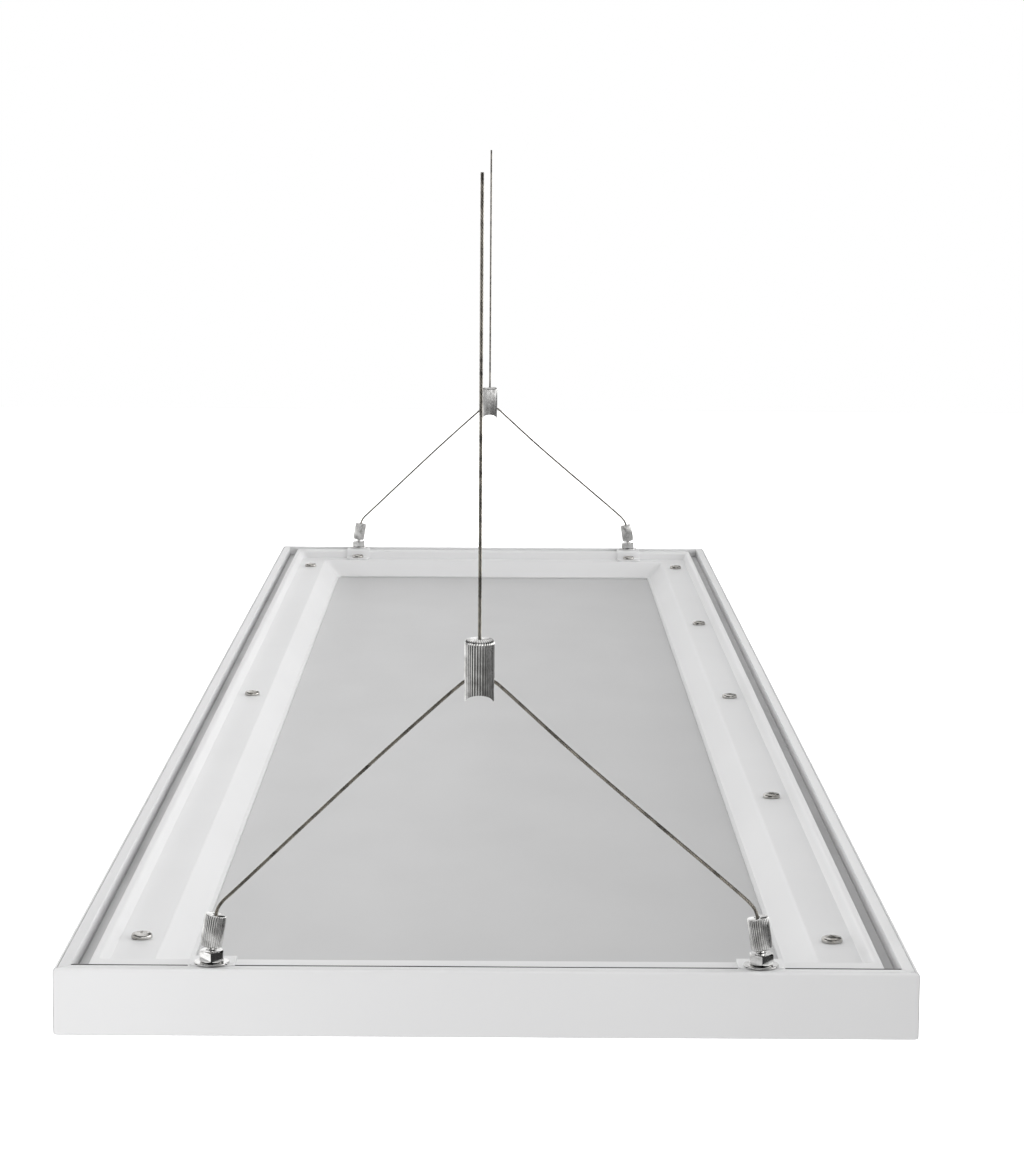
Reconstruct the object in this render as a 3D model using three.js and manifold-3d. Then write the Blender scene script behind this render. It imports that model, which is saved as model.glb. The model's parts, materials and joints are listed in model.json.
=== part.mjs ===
// Suspended edge-lit LED panel light, hung on two wire yokes. Millimetres, +Z up.
// The origin is the middle of the underside. The long axis is Y, and the front end is at -Y.
import * as THREE from "three";
import { mergeVertices } from "three/addons/utils/BufferGeometryUtils.js";
import Module from "manifold-3d";

const wasm = await Module();
wasm.setup();

// ---- Driving dimensions ----

// Frame: four mitred lengths of one hollow aluminium section.
const panelLength = 1195;
const panelWidth = 295;
const panelHeight = 23.5;
const railWidth = 5.4;
const railWall = 1.2;
const railEdgeRadius = 1.2;
const railLipReach = 16;
const railLipThickness = 1.2;
const grooveInset = 1.3;
const grooveWidth = 0.3;
const grooveDepth = 0.5;
const cornerKeyArm = 26;

// Clearances.
const mitreGap = 0.2;
const sheetGap = 0.1;
const seatGap = 0.1;
const sideGap = 0.3;
const shankClearance = 0.3;
const threadClearance = 0.3;
const wireClearance = 0.3;
const ballClearance = 0.15;

// Optical stack, from the light-giving side up.
const stackSideMargin = 12.1;
const stackEndMargin = 8;
const diffuserThickness = 1.5;
const guideThickness = 3;
const reflectorThickness = 0.3;
const backSheetThickness = 0.7;
const backSheetSideMargin = 10.6;

// LED bars: a web against each side rail, with a shelf that the cover screws bite into.
const barWidth = 4.5;
const barHeight = 17.1;
const shelfReach = 22;
const shelfThickness = 2;
const ledBoardThickness = 1;
const ledBoardHeight = 4.6;
const ledBoardLength = 1160;

// Rear cover: one pressed ring of sheet, given as distances in from the frame's outer faces.
const coverSheet = 1;
const coverCornerRadius = 3;
const coverRimDrop = 1;
const coverStepDrop = 4.7;
const coverFootWidth = 1.6;
const coverRimSideInset = 10.45;
const coverRimSideWidth = 3.05;
const coverRimEndInset = 7.3;
const coverRimEndWidth = 11.7;
const coverStepRun = 1.8;
const coverShelfSideWidth = 15.7;
const coverShelfEndWidth = 11.2;
const coverSlopeRun = 8.5;

// Front seal: a rubber strip in the gap between the front rail and the cover, notched for the brackets.
const sealDrop = 0.1;
const sealNotchMargin = 0.4;

// Cover and bracket screws.
const screwEndDistance = 67.5;
const screwSideInset = 23.15;
const screwHeadRadius = 3.8;
const screwHeadHeight = 2.2;
const screwHeadRim = 0.8;
const screwShankRadius = 1.2;
const coverScrewTipAboveShelfBase = 0.8;
const bracketScrewShank = 7;

// LED driver, under the right-hand shelf of the cover.
const driverLength = 220;
const driverWidth = 13;
const driverHeight = 7;
const driverWall = 0.8;
const driverBoardThickness = 1;

// Power inlet: a round low-voltage jack in the rear rail.
const inletFromCentre = 106;
const inletHeight = 13;
const inletNoseRadius = 4;
const inletNoseLength = 6.4;
const inletBodyRadius = 5.4;
const inletBodyLength = 10;
const inletBoreRadius = 2.8;
const inletBoreDepth = 9;
const inletPinRadius = 1;
const inletRecess = 0.2;

// Hangers: bracket, washer, nut, ball stud and knurled swivel barrel.
const hangerFromCentre = 94;
const hangerEndInset = 8.4;
const bracketWidth = 15.5;
const bracketSheet = 1;
const bracketFootLength = 9.8;
const bracketScrewFromStep = 4.9;
const washerRadius = 6.1;
const washerThickness = 0.7;
const nutAcrossFlats = 8;
const nutHeight = 3.8;
const studRadius = 1.6;
const neckRadius = 1;
const ballRadius = 2.2;
const ballAboveNut = 2.8;
const barrelRadius = 3.8;
const barrelLength = 11.3;
const barrelChamfer = 0.5;
const barrelBelowBall = 1.5;
const barrelLean = 9;

// Yokes: one wire through a knurled connector, and the wire that the connector hangs on.
const wireRadius = 0.6;
const connectorRadius = 5.2;
const connectorHeight = 21.6;
const connectorChamfer = 0.5;
const connectorAboveFrame = 91.5;
const connectorSideShift = -3;
const connectorCavityRadius = 4;
const connectorCavityDepth = 8.6;
const connectorSlotHalfWidth = 1.1;
const connectorSlotHeight = 8.2;
const connectorArchHalfWidth = 4.6;
const connectorArchHeight = 2.6;
const legInBarrel = 4;
const frontWireAboveFrame = 269.2;
const rearWireAboveFrame = 276.4;
const mainWireInConnector = 9.5;

// ---- Derived levels ----

const halfLength = panelLength / 2;
const halfWidth = panelWidth / 2;
const stackBase = railLipThickness + sheetGap;
const guideBase = stackBase + diffuserThickness + sheetGap;
const reflectorBase = guideBase + guideThickness + sheetGap;
const backSheetBase = reflectorBase + reflectorThickness + sheetGap;
const backSheetTop = backSheetBase + backSheetThickness;
const barBase = railLipThickness + seatGap;
const barTop = barBase + barHeight;
const barInset = railWidth + sideGap;
const shelfBase = backSheetTop + seatGap + sheetGap;
const shelfTop = shelfBase + shelfThickness;
const coverRimHeight = panelHeight - coverRimDrop;
const coverRimBottom = barTop + seatGap + sideGap;
const coverShelfHeight = coverRimHeight - coverStepDrop;
const coverFootHeight = backSheetTop + seatGap + coverSheet;
const coverScrewTip = shelfBase + coverScrewTipAboveShelfBase;
const coverScrewShank = coverShelfHeight + seatGap - coverScrewTip;
const bracketFootStart = coverRimEndInset + coverRimEndWidth + coverStepRun;
const bracketFootEnd = bracketFootStart + bracketFootLength;
const bracketScrewInset = bracketFootStart + bracketScrewFromStep;
const bracketTop = coverRimHeight + seatGap + bracketSheet;
const sealTop = panelHeight - sealDrop;
const sealBottom = barTop + sideGap;
const sealNotchTop = bracketTop - bracketSheet - sideGap;
const washerBase = bracketTop + seatGap;
const nutBase = washerBase + washerThickness + seatGap;
const nutTop = nutBase + nutHeight;
const ballHeight = nutTop + ballAboveNut;
const lean = THREE.MathUtils.degToRad(barrelLean);
const wireBoreRadius = wireRadius + wireClearance;
const connectorBottom = panelHeight + connectorAboveFrame;
const frontWireTop = panelHeight + frontWireAboveFrame;
const rearWireTop = panelHeight + rearWireAboveFrame;

// ---- Finishes ----

const finishes = {
  whitePaint: { color: 0xe9eaec, roughness: 0.45, metalness: 0 },
  greyPaint: { color: 0xc4c5c7, roughness: 0.4, metalness: 0 },
  aluminium: { color: 0xa8aaad, roughness: 0.4, metalness: 1 },
  nickel: { color: 0xc9c7c2, roughness: 0.18, metalness: 1 },
  steel: { color: 0xb9b8b4, roughness: 0.3, metalness: 1 },
  rope: { color: 0x8f8b84, roughness: 0.35, metalness: 1 },
  acrylic: { color: 0xf3f7f8, roughness: 0.08, metalness: 0 },
  opal: { color: 0xf6f6f2, roughness: 0.5, metalness: 0 },
  whiteFilm: { color: 0xfafafa, roughness: 0.6, metalness: 0 },
  board: { color: 0xf1f1ea, roughness: 0.5, metalness: 0 },
  greenBoard: { color: 0x2f6b45, roughness: 0.5, metalness: 0 },
  blackPlastic: { color: 0x17181a, roughness: 0.45, metalness: 0 },
};

// ---- Geometry helpers ----

function toSolid(geometry) {
  const bare = geometry.index ? geometry.toNonIndexed() : geometry.clone();
  bare.deleteAttribute("normal");
  bare.deleteAttribute("uv");
  const merged = mergeVertices(bare, 1e-4);
  const vertProperties = merged.attributes.position.array;
  const triVerts = new Uint32Array(merged.index.array);
  return new wasm.Manifold(new wasm.Mesh({ numProp: 3, vertProperties, triVerts }));
}

function toGeometry(solid) {
  const mesh = solid.getMesh();
  const geometry = new THREE.BufferGeometry();
  geometry.setAttribute("position", new THREE.BufferAttribute(mesh.vertProperties, 3));
  geometry.setIndex(new THREE.BufferAttribute(mesh.triVerts, 1));
  return geometry;
}

// Takes each cutter away from a geometry.
function cut(geometry, cutters) {
  const start = toSolid(geometry);
  const left = cutters.reduce((solid, cutter) => solid.subtract(toSolid(cutter)), start);
  return toGeometry(left);
}

function box(low, high) {
  const size = high.map((value, i) => value - low[i]);
  const geometry = new THREE.BoxGeometry(...size);
  return geometry.translate(...low.map((value, i) => value + size[i] / 2));
}

// A lathe turned about the Z axis from [radius, height] points.
function turned(profile, sides) {
  const points = profile.map(([radius, height]) => new THREE.Vector2(radius, height));
  return new THREE.LatheGeometry(points, sides).rotateX(Math.PI / 2);
}

function uprightRod(radius, x, y, low, high, sides = 12) {
  const rod = new THREE.CylinderGeometry(radius, radius, high - low, sides);
  return rod.rotateX(Math.PI / 2).translate(x, y, (low + high) / 2);
}

// Points of an arc as [across, up] pairs, with angles in degrees from the across direction.
function arc(centre, radius, from, to, steps) {
  return Array.from({ length: steps + 1 }, (_, i) => {
    const angle = THREE.MathUtils.degToRad(from + ((to - from) * i) / steps);
    return [centre[0] + radius * Math.cos(angle), centre[1] + radius * Math.sin(angle)];
  });
}

function shapeOf(points) {
  return new THREE.Shape(points.map(([x, y]) => new THREE.Vector2(x, y)));
}

// Sweeps a section of [inset, height] points: place(inset, height, t) gives the point at t from -1 to 1.
function swept(shape, place) {
  const geometry = new THREE.ExtrudeGeometry(shape, { depth: 1, bevelEnabled: false });
  const position = geometry.attributes.position;
  for (let i = 0; i < position.count; i += 1) {
    const t = 2 * position.getZ(i) - 1;
    position.setXYZ(i, ...place(position.getX(i), position.getY(i), t));
  }
  return geometry;
}

// Moves an open line of [inset, height] points to its left by a distance, with mitred corners.
function offsetLine(line, distance) {
  const normals = line.slice(1).map(([x, z], i) => {
    const length = Math.hypot(x - line[i][0], z - line[i][1]);
    return [(line[i][1] - z) / length, (x - line[i][0]) / length];
  });
  return line.map(([x, z], i) => {
    const before = normals[Math.max(i - 1, 0)];
    const after = normals[Math.min(i, normals.length - 1)];
    const share = distance / (1 + before[0] * after[0] + before[1] * after[1]);
    return [x + share * (before[0] + after[0]), z + share * (before[1] + after[1])];
  });
}

// One level loop of a ring: a rectangle with rounded corners.
function roundedLoop({ sideInset, endInset, height, radius }) {
  const x = halfWidth - sideInset;
  const y = halfLength - endInset;
  const corners = [[1, 1, 0], [-1, 1, 90], [-1, -1, 180], [1, -1, 270]];
  return corners.flatMap(([sx, sy, start]) => {
    const centre = [sx * (x - radius), sy * (y - radius)];
    return arc(centre, radius, start, start + 90, 3).map((point) => [...point, height]);
  });
}

// Joins closed loops of points into a closed band, the last loop meeting the first.
function loopedBand(loops) {
  const size = loops[0].length;
  const index = [];
  loops.forEach((_, i) => {
    const next = (i + 1) % loops.length;
    for (let j = 0; j < size; j += 1) {
      const k = (j + 1) % size;
      index.push(i * size + j, i * size + k, next * size + k);
      index.push(i * size + j, next * size + k, next * size + j);
    }
  });
  const geometry = new THREE.BufferGeometry();
  geometry.setAttribute("position", new THREE.Float32BufferAttribute(loops.flat(2), 3));
  geometry.setIndex(index);
  return geometry;
}

function tube(points, radius, steps) {
  const path = new THREE.CatmullRomCurve3(points, false, "centripetal");
  const section = shapeOf(arc([0, 0], radius, 0, 315, 7));
  return new THREE.ExtrudeGeometry(section, { steps, extrudePath: path });
}

function piece(name, geometry, finish) {
  const mesh = new THREE.Mesh(geometry, new THREE.MeshStandardMaterial(finish));
  mesh.name = name;
  return mesh;
}

// ---- Frame ----

function railSection() {
  const top = panelHeight;
  const r = railEdgeRadius;
  const outline = [
    ...arc([r, r], r, 180, 270, 3),
    [railLipReach, 0],
    [railLipReach, railLipThickness],
    [railWidth, railLipThickness],
    [railWidth, top],
    [grooveInset + grooveWidth, top],
    [grooveInset + grooveWidth, top - grooveDepth],
    [grooveInset, top - grooveDepth],
    [grooveInset, top],
    ...arc([r, top - r], r, 90, 180, 3),
  ];
  const section = shapeOf(outline);
  const inner = railWidth - railWall;
  const chamber = [
    [railWall, railWall],
    [inner, railWall],
    [inner, top - railWall],
    [railWall, top - railWall],
  ];
  section.holes.push(shapeOf(chamber));
  return section;
}

function sideRail(side) {
  const place = (inset, height, t) => {
    const y = side * t * (halfLength - inset - mitreGap);
    return [side * (halfWidth - inset), y, height];
  };
  return swept(railSection(), place);
}

function endRail(end) {
  const place = (inset, height, t) => {
    const x = -end * t * (halfWidth - inset - mitreGap);
    return [x, end * (halfLength - inset), height];
  };
  return swept(railSection(), place);
}

function rearRail() {
  const hole = new THREE.CylinderGeometry(
    inletNoseRadius + sideGap,
    inletNoseRadius + sideGap,
    4 * railWidth,
    20,
  );
  hole.translate(inletFromCentre, halfLength, 0);
  return cut(endRail(1), [hole.translate(0, 0, inletHeight)]);
}

// An angle that sits in the chambers of two rails and holds their mitre shut.
function cornerKey(side, end) {
  const outer = railWall + sideGap;
  const inner = railWidth - railWall - sideGap;
  const outline = [
    [outer, outer],
    [cornerKeyArm, outer],
    [cornerKeyArm, inner],
    [inner, inner],
    [inner, cornerKeyArm],
    [outer, cornerKeyArm],
  ].map(([x, y]) => [side * (halfWidth - x), end * (halfLength - y)]);
  const depth = panelHeight - 2 * (railWall + sideGap);
  const key = new THREE.ExtrudeGeometry(shapeOf(outline), { depth, bevelEnabled: false });
  return key.translate(0, 0, railWall + sideGap);
}

function frame() {
  const group = new THREE.Group();
  group.add(piece("side_rail_left", sideRail(-1), finishes.whitePaint));
  group.add(piece("side_rail_right", sideRail(1), finishes.whitePaint));
  group.add(piece("end_rail_front", endRail(-1), finishes.whitePaint));
  group.add(piece("end_rail_rear", rearRail(), finishes.whitePaint));
  for (const [end, endName] of [[-1, "front"], [1, "rear"]]) {
    for (const [side, sideName] of [[-1, "left"], [1, "right"]]) {
      const name = `corner_key_${endName}_${sideName}`;
      group.add(piece(name, cornerKey(side, end), finishes.aluminium));
    }
  }
  return group;
}

// ---- Optical stack and LED bars ----

function sheet(sideMargin, base, thickness) {
  const x = halfWidth - sideMargin;
  const y = halfLength - stackEndMargin;
  return box([-x, -y, base], [x, y, base + thickness]);
}

function opticalStack() {
  const group = new THREE.Group();
  const diffuser = sheet(stackSideMargin, stackBase, diffuserThickness);
  const guide = sheet(stackSideMargin, guideBase, guideThickness);
  const reflector = sheet(stackSideMargin, reflectorBase, reflectorThickness);
  const back = sheet(backSheetSideMargin, backSheetBase, backSheetThickness);
  group.add(piece("diffuser", diffuser, finishes.opal));
  group.add(piece("light_guide", guide, finishes.acrylic));
  group.add(piece("reflector_sheet", reflector, finishes.whiteFilm));
  group.add(piece("back_sheet", back, finishes.greyPaint));
  return group;
}

// The screws along each side: five on the driver's side, three on the other.
function coverScrewPlaces(side) {
  const count = side > 0 ? 5 : 3;
  const span = panelLength - 2 * screwEndDistance;
  return Array.from({ length: count }, (_, i) => ({
    x: side * (halfWidth - screwSideInset),
    y: -span / 2 + (span * i) / (count - 1),
  }));
}

function ledBar(side) {
  const inner = barInset + barWidth;
  const outline = [
    [barInset, barBase],
    [inner, barBase],
    [inner, shelfBase],
    [inner + shelfReach, shelfBase],
    [inner + shelfReach, shelfTop],
    [inner, shelfTop],
    [inner, barTop],
    [barInset, barTop],
  ];
  const reach = halfLength - railWidth - sideGap;
  const place = (inset, height, t) => [side * (halfWidth - inset), side * t * reach, height];
  const bore = screwShankRadius + shankClearance;
  const drill = ({ x, y }) => uprightRod(bore, x, y, shelfBase - 1, shelfTop + 1);
  return cut(swept(shapeOf(outline), place), coverScrewPlaces(side).map(drill));
}

function ledBoard(side) {
  const inset = barInset + barWidth + sideGap;
  const outer = side * (halfWidth - inset);
  const inner = side * (halfWidth - inset - ledBoardThickness);
  const low = [Math.min(outer, inner), -ledBoardLength / 2, stackBase];
  const high = [Math.max(outer, inner), ledBoardLength / 2, stackBase + ledBoardHeight];
  return box(low, high);
}

function ledBars() {
  const group = new THREE.Group();
  group.add(piece("led_bar_left", ledBar(-1), finishes.aluminium));
  group.add(piece("led_bar_right", ledBar(1), finishes.aluminium));
  group.add(piece("led_board_left", ledBoard(-1), finishes.board));
  group.add(piece("led_board_right", ledBoard(1), finishes.board));
  return group;
}

// ---- Rear cover and its screws ----

// The cover's upper surface as [inset, height] points, from its outer edge in to its foot.
function coverLine(rimInset, rimWidth, shelfWidth) {
  const step = rimInset + rimWidth;
  const shelf = step + coverStepRun;
  const slope = shelf + shelfWidth;
  const foot = slope + coverSlopeRun;
  return [
    [rimInset, coverRimBottom],
    [rimInset, coverRimHeight],
    [step, coverRimHeight],
    [shelf, coverShelfHeight],
    [slope, coverShelfHeight],
    [foot, coverFootHeight],
    [foot + coverFootWidth, coverFootHeight],
  ];
}

const coverSideLine = coverLine(coverRimSideInset, coverRimSideWidth, coverShelfSideWidth);
const coverEndLine = coverLine(coverRimEndInset, coverRimEndWidth, coverShelfEndWidth);

function bracketScrewPlaces() {
  const y = halfLength - bracketScrewInset;
  return [-1, 1].flatMap((end) => [-1, 1].map((side) => ({ x: side * hangerFromCentre, y: end * y })));
}

function rearCover() {
  const closed = (line) => [...line, ...offsetLine(line, -coverSheet).reverse()];
  const side = closed(coverSideLine);
  const end = closed(coverEndLine);
  const loops = side.map(([sideInset, height], i) =>
    roundedLoop({ sideInset, endInset: end[i][0], height, radius: coverCornerRadius }),
  );
  const places = [...coverScrewPlaces(-1), ...coverScrewPlaces(1), ...bracketScrewPlaces()];
  const bore = screwShankRadius + shankClearance;
  const low = coverShelfHeight - 2 * coverSheet;
  const drill = ({ x, y }) => uprightRod(bore, x, y, low, coverShelfHeight + 1);
  return cut(loopedBand(loops), places.map(drill));
}

function frontSeal() {
  const end = halfWidth - railWidth - sideGap;
  const outer = hangerFromCentre + bracketWidth / 2 + sealNotchMargin;
  const inner = hangerFromCentre - bracketWidth / 2 - sealNotchMargin;
  const half = [
    [inner, sealTop],
    [inner, sealNotchTop],
    [outer, sealNotchTop],
    [outer, sealTop],
    [end, sealTop],
    [end, sealBottom],
  ];
  const mirrored = half.map(([x, height]) => [-x, height]).reverse();
  const front = railWidth + seatGap;
  const back = coverRimEndInset - seatGap;
  const strip = new THREE.ExtrudeGeometry(shapeOf([...half, ...mirrored]), {
    depth: back - front,
    bevelEnabled: false,
  });
  return strip.rotateX(Math.PI / 2).translate(0, back - halfLength, 0);
}

// A pan-head screw whose head sits on z = 0.
function panHeadScrew(shankLength) {
  const domeHeight = screwHeadHeight - screwHeadRim;
  const domeRadius = (screwHeadRadius ** 2 + domeHeight ** 2) / (2 * domeHeight);
  const spread = THREE.MathUtils.radToDeg(Math.asin(screwHeadRadius / domeRadius));
  const dome = arc([0, screwHeadHeight - domeRadius], domeRadius, 90 - spread, 90, 3);
  dome[dome.length - 1] = [0, screwHeadHeight];
  const profile = [
    [0, -shankLength],
    [screwShankRadius / 2, -shankLength],
    [screwShankRadius, screwShankRadius - shankLength],
    [screwShankRadius, 0],
    [screwHeadRadius, 0],
    ...dome,
  ];
  return turned(profile, 12);
}

function cover() {
  const group = new THREE.Group();
  group.add(piece("rear_cover", rearCover(), finishes.whitePaint));
  group.add(piece("front_seal", frontSeal(), finishes.blackPlastic));
  for (const [side, sideName] of [[-1, "left"], [1, "right"]]) {
    coverScrewPlaces(side).forEach(({ x, y }, i) => {
      const name = `cover_screw_${sideName}_${i + 1}`;
      const screw = piece(name, panHeadScrew(coverScrewShank), finishes.steel);
      screw.position.set(x, y, coverShelfHeight + seatGap);
      group.add(screw);
    });
  }
  return group;
}

// ---- Driver and power inlet ----

function driver() {
  const group = new THREE.Group();
  const places = coverScrewPlaces(1);
  group.position.set(places[0].x, (places[1].y + places[2].y) / 2, shelfTop + seatGap);
  const x = driverWidth / 2;
  const y = driverLength / 2;
  const lidBase = driverHeight - driverWall;
  const shell = box([-x, -y, 0], [x, y, lidBase - seatGap]);
  const inside = box(
    [driverWall - x, driverWall - y, driverWall],
    [x - driverWall, y - driverWall, driverHeight],
  );
  const lid = box([-x, -y, lidBase], [x, y, driverHeight]);
  const margin = driverWall + sideGap;
  const boardBase = driverWall + sideGap;
  const board = box(
    [margin - x, margin - y, boardBase],
    [x - margin, y - margin, boardBase + driverBoardThickness],
  );
  group.add(piece("driver_case", cut(shell, [inside]), finishes.aluminium));
  group.add(piece("driver_lid", lid, finishes.aluminium));
  group.add(piece("driver_board", board, finishes.greenBoard));
  return group;
}

// A round jack with its mouth on z = 0, opening upwards, and a pin in the middle of its bore.
function powerInlet() {
  const back = -inletNoseLength - inletBodyLength;
  const profile = [
    [0, back],
    [inletBodyRadius, back],
    [inletBodyRadius, -inletNoseLength],
    [inletNoseRadius, -inletNoseLength],
    [inletNoseRadius, 0],
    [inletBoreRadius, 0],
    [inletBoreRadius, -inletBoreDepth],
    [inletPinRadius, -inletBoreDepth],
    [inletPinRadius, -inletPinRadius],
    [0, -inletPinRadius],
  ];
  const inlet = piece("power_inlet", turned(profile, 16), finishes.blackPlastic);
  inlet.position.set(inletFromCentre, halfLength - inletRecess, inletHeight);
  inlet.rotation.x = -Math.PI / 2;
  return inlet;
}

// ---- Hangers ----

// The bracket follows the cover's end rim down to its shelf, around the stud axis at x = y = 0.
function hangerBracket() {
  const rimLine = [
    [railWidth + sideGap, coverRimHeight],
    coverEndLine[2],
    coverEndLine[3],
    [bracketFootEnd, coverShelfHeight],
  ];
  const under = offsetLine(rimLine, seatGap);
  const upper = offsetLine(rimLine, seatGap + bracketSheet);
  const outline = shapeOf([...under, ...upper.reverse()]);
  const place = (inset, height, t) => [(t * bracketWidth) / 2, inset - hangerEndInset, height];
  const studBore = studRadius + threadClearance;
  const screwBore = screwShankRadius + shankClearance;
  const screwY = bracketScrewInset - hangerEndInset;
  const low = coverShelfHeight - 1;
  return cut(swept(outline, place), [
    uprightRod(studBore, 0, 0, low, bracketTop + 1, 16),
    uprightRod(screwBore, 0, screwY, low, bracketTop + 1),
  ]);
}

// A flat ring, or a nut when its outline has six sides.
function ringPlate(outline, holeRadius, base, height) {
  const shape = shapeOf(outline);
  shape.holes.push(shapeOf(arc([0, 0], holeRadius, 0, 337.5, 15)));
  const plate = new THREE.ExtrudeGeometry(shape, { depth: height, bevelEnabled: false });
  return plate.translate(0, 0, base);
}

function ballStud() {
  const neckJoin = Math.sqrt(ballRadius ** 2 - neckRadius ** 2);
  const start = -THREE.MathUtils.radToDeg(Math.asin(neckJoin / ballRadius));
  const ball = arc([0, ballHeight], ballRadius, start, 90, 6);
  ball[ball.length - 1] = [0, ballHeight + ballRadius];
  const base = bracketTop - bracketSheet + seatGap;
  const profile = [
    [0, base],
    [studRadius, base],
    [studRadius, nutTop - seatGap],
    [neckRadius, nutTop + seatGap],
    ...ball,
  ];
  return turned(profile, 16);
}

// The barrel about its own axis, with the centre of its ball socket at the origin.
function swivelBarrel() {
  const socket = ballRadius + ballClearance;
  const angleAt = (height) => THREE.MathUtils.radToDeg(Math.asin(height / socket));
  const boreJoin = Math.sqrt(socket ** 2 - wireBoreRadius ** 2);
  const top = barrelLength - barrelBelowBall;
  const profile = [
    [barrelRadius - barrelChamfer, -barrelBelowBall],
    [barrelRadius, barrelChamfer - barrelBelowBall],
    [barrelRadius, top - barrelChamfer],
    [barrelRadius - barrelChamfer, top],
    [wireBoreRadius, top],
    ...arc([0, 0], socket, angleAt(boreJoin), angleAt(-barrelBelowBall), 5),
    [barrelRadius - barrelChamfer, -barrelBelowBall],
  ];
  return turned(profile, 20);
}

// One hanger about its stud axis. Its bracket reaches along +Y, and its barrel leans in X.
function hanger(place, leanSide) {
  const group = new THREE.Group();
  const hole = studRadius + threadClearance;
  const washerOutline = arc([0, 0], washerRadius, 0, 345, 23);
  const nutOutline = arc([0, 0], nutAcrossFlats / Math.sqrt(3), -90, 210, 5);
  const washer = ringPlate(washerOutline, hole, washerBase, washerThickness);
  const nut = ringPlate(nutOutline, hole, nutBase, nutHeight);
  group.add(piece(`hanger_bracket_${place}`, hangerBracket(), finishes.whitePaint));
  group.add(piece(`washer_${place}`, washer, finishes.nickel));
  group.add(piece(`hex_nut_${place}`, nut, finishes.nickel));
  group.add(piece(`ball_stud_${place}`, ballStud(), finishes.nickel));
  const screw = piece(`bracket_screw_${place}`, panHeadScrew(bracketScrewShank), finishes.steel);
  const footTop = coverShelfHeight + seatGap + bracketSheet;
  screw.position.set(0, bracketScrewInset - hangerEndInset, footTop + seatGap);
  group.add(screw);
  const barrel = piece(`swivel_barrel_${place}`, swivelBarrel(), finishes.nickel);
  barrel.position.z = ballHeight;
  barrel.rotation.y = leanSide * lean;
  group.add(barrel);
  return group;
}

function hangers() {
  const group = new THREE.Group();
  for (const [end, endName] of [[-1, "front"], [1, "rear"]]) {
    for (const [side, sideName] of [[-1, "left"], [1, "right"]]) {
      const one = hanger(`${endName}_${sideName}`, side * end);
      one.position.set(side * hangerFromCentre, end * (halfLength - hangerEndInset), 0);
      one.rotation.z = end > 0 ? Math.PI : 0;
      group.add(one);
    }
  }
  return group;
}

// ---- Yokes ----

function yokeConnector() {
  const r = connectorRadius;
  const top = connectorHeight;
  const profile = [
    [connectorCavityRadius, 0],
    [r - connectorChamfer, 0],
    [r, connectorChamfer],
    [r, top - connectorChamfer],
    [r - connectorChamfer, top],
    [wireBoreRadius, top],
    [wireBoreRadius, connectorCavityDepth],
    [connectorCavityRadius, connectorCavityDepth],
    [connectorCavityRadius, 0],
  ];
  const slot = box(
    [-r - 1, -connectorSlotHalfWidth, -1],
    [r + 1, connectorSlotHalfWidth, connectorSlotHeight],
  );
  const body = toSolid(turned(profile, 24));
  const core = toSolid(uprightRod(connectorCavityRadius, 0, 0, -2, connectorHeight, 24));
  const arch = new THREE.CylinderGeometry(1, 1, 3 * r, 24);
  arch.scale(connectorArchHalfWidth, 1, connectorArchHeight);
  const slotted = body.subtract(toSolid(slot).subtract(core));
  return toGeometry(slotted.subtract(toSolid(arch)));
}

// Half of a leg wire, from inside a barrel up to the middle of the connector.
function legHalf(side) {
  const along = (distance) => [
    side * (hangerFromCentre - distance * Math.sin(lean)),
    0,
    ballHeight + distance * Math.cos(lean),
  ];
  const mouth = barrelLength - barrelBelowBall;
  const [mouthX, , mouthZ] = along(mouth);
  const shift = connectorSideShift;
  return [
    along(legInBarrel),
    along((legInBarrel + mouth) / 2),
    along(mouth),
    [mouthX - side * 0.8, 0, mouthZ + 2.4],
    [mouthX - side * 2.5, 0, mouthZ + 4.7],
    [mouthX - side * 5.6, 0, mouthZ + 7.6],
    [shift + side * 34, 0, connectorBottom - 19.2],
    [shift + side * 6.3, 0, connectorBottom + 5.8],
    [shift + side * 5.2, 0, connectorBottom + 6.6],
    [shift + side * 4, 0, connectorBottom + 7.1],
    [shift + side * 2.4, 1.1, connectorBottom + 7.3],
  ];
}

function legWire() {
  const points = [
    ...legHalf(-1),
    [connectorSideShift, 1.6, connectorBottom + 7.4],
    ...legHalf(1).reverse(),
  ];
  return tube(points.map((point) => new THREE.Vector3(...point)), wireRadius, 80);
}

function mainWire(top) {
  const bottom = connectorBottom + mainWireInConnector;
  const levels = [0, 0.25, 0.5, 0.75, 1].map((share) => bottom + share * (top - bottom));
  const points = levels.map((z) => new THREE.Vector3(connectorSideShift, 0, z));
  return tube(points, wireRadius, 50);
}

function yoke(end, endName, wireTop) {
  const group = new THREE.Group();
  group.position.y = end * (halfLength - hangerEndInset);
  const connector = piece(`yoke_connector_${endName}`, yokeConnector(), finishes.nickel);
  connector.position.set(connectorSideShift, 0, connectorBottom);
  group.add(connector);
  group.add(piece(`leg_wire_${endName}`, legWire(), finishes.rope));
  group.add(piece(`main_wire_${endName}`, mainWire(wireTop), finishes.rope));
  return group;
}

// ---- Whole light ----

const light = new THREE.Group();
light.add(frame());
light.add(opticalStack());
light.add(ledBars());
light.add(cover());
light.add(driver());
light.add(powerInlet());
light.add(hangers());
light.add(yoke(-1, "front", frontWireTop));
light.add(yoke(1, "rear", rearWireTop));

export default light;
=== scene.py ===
"""A suspended LED panel light: its fine meshes, finishes, wire ropes and studio.

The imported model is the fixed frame.  Places come from it, and each class below
builds the fine pieces that stand for its plain nodes, or dresses the nodes that
already have their real shape.  Lengths are in metres.
"""

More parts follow.
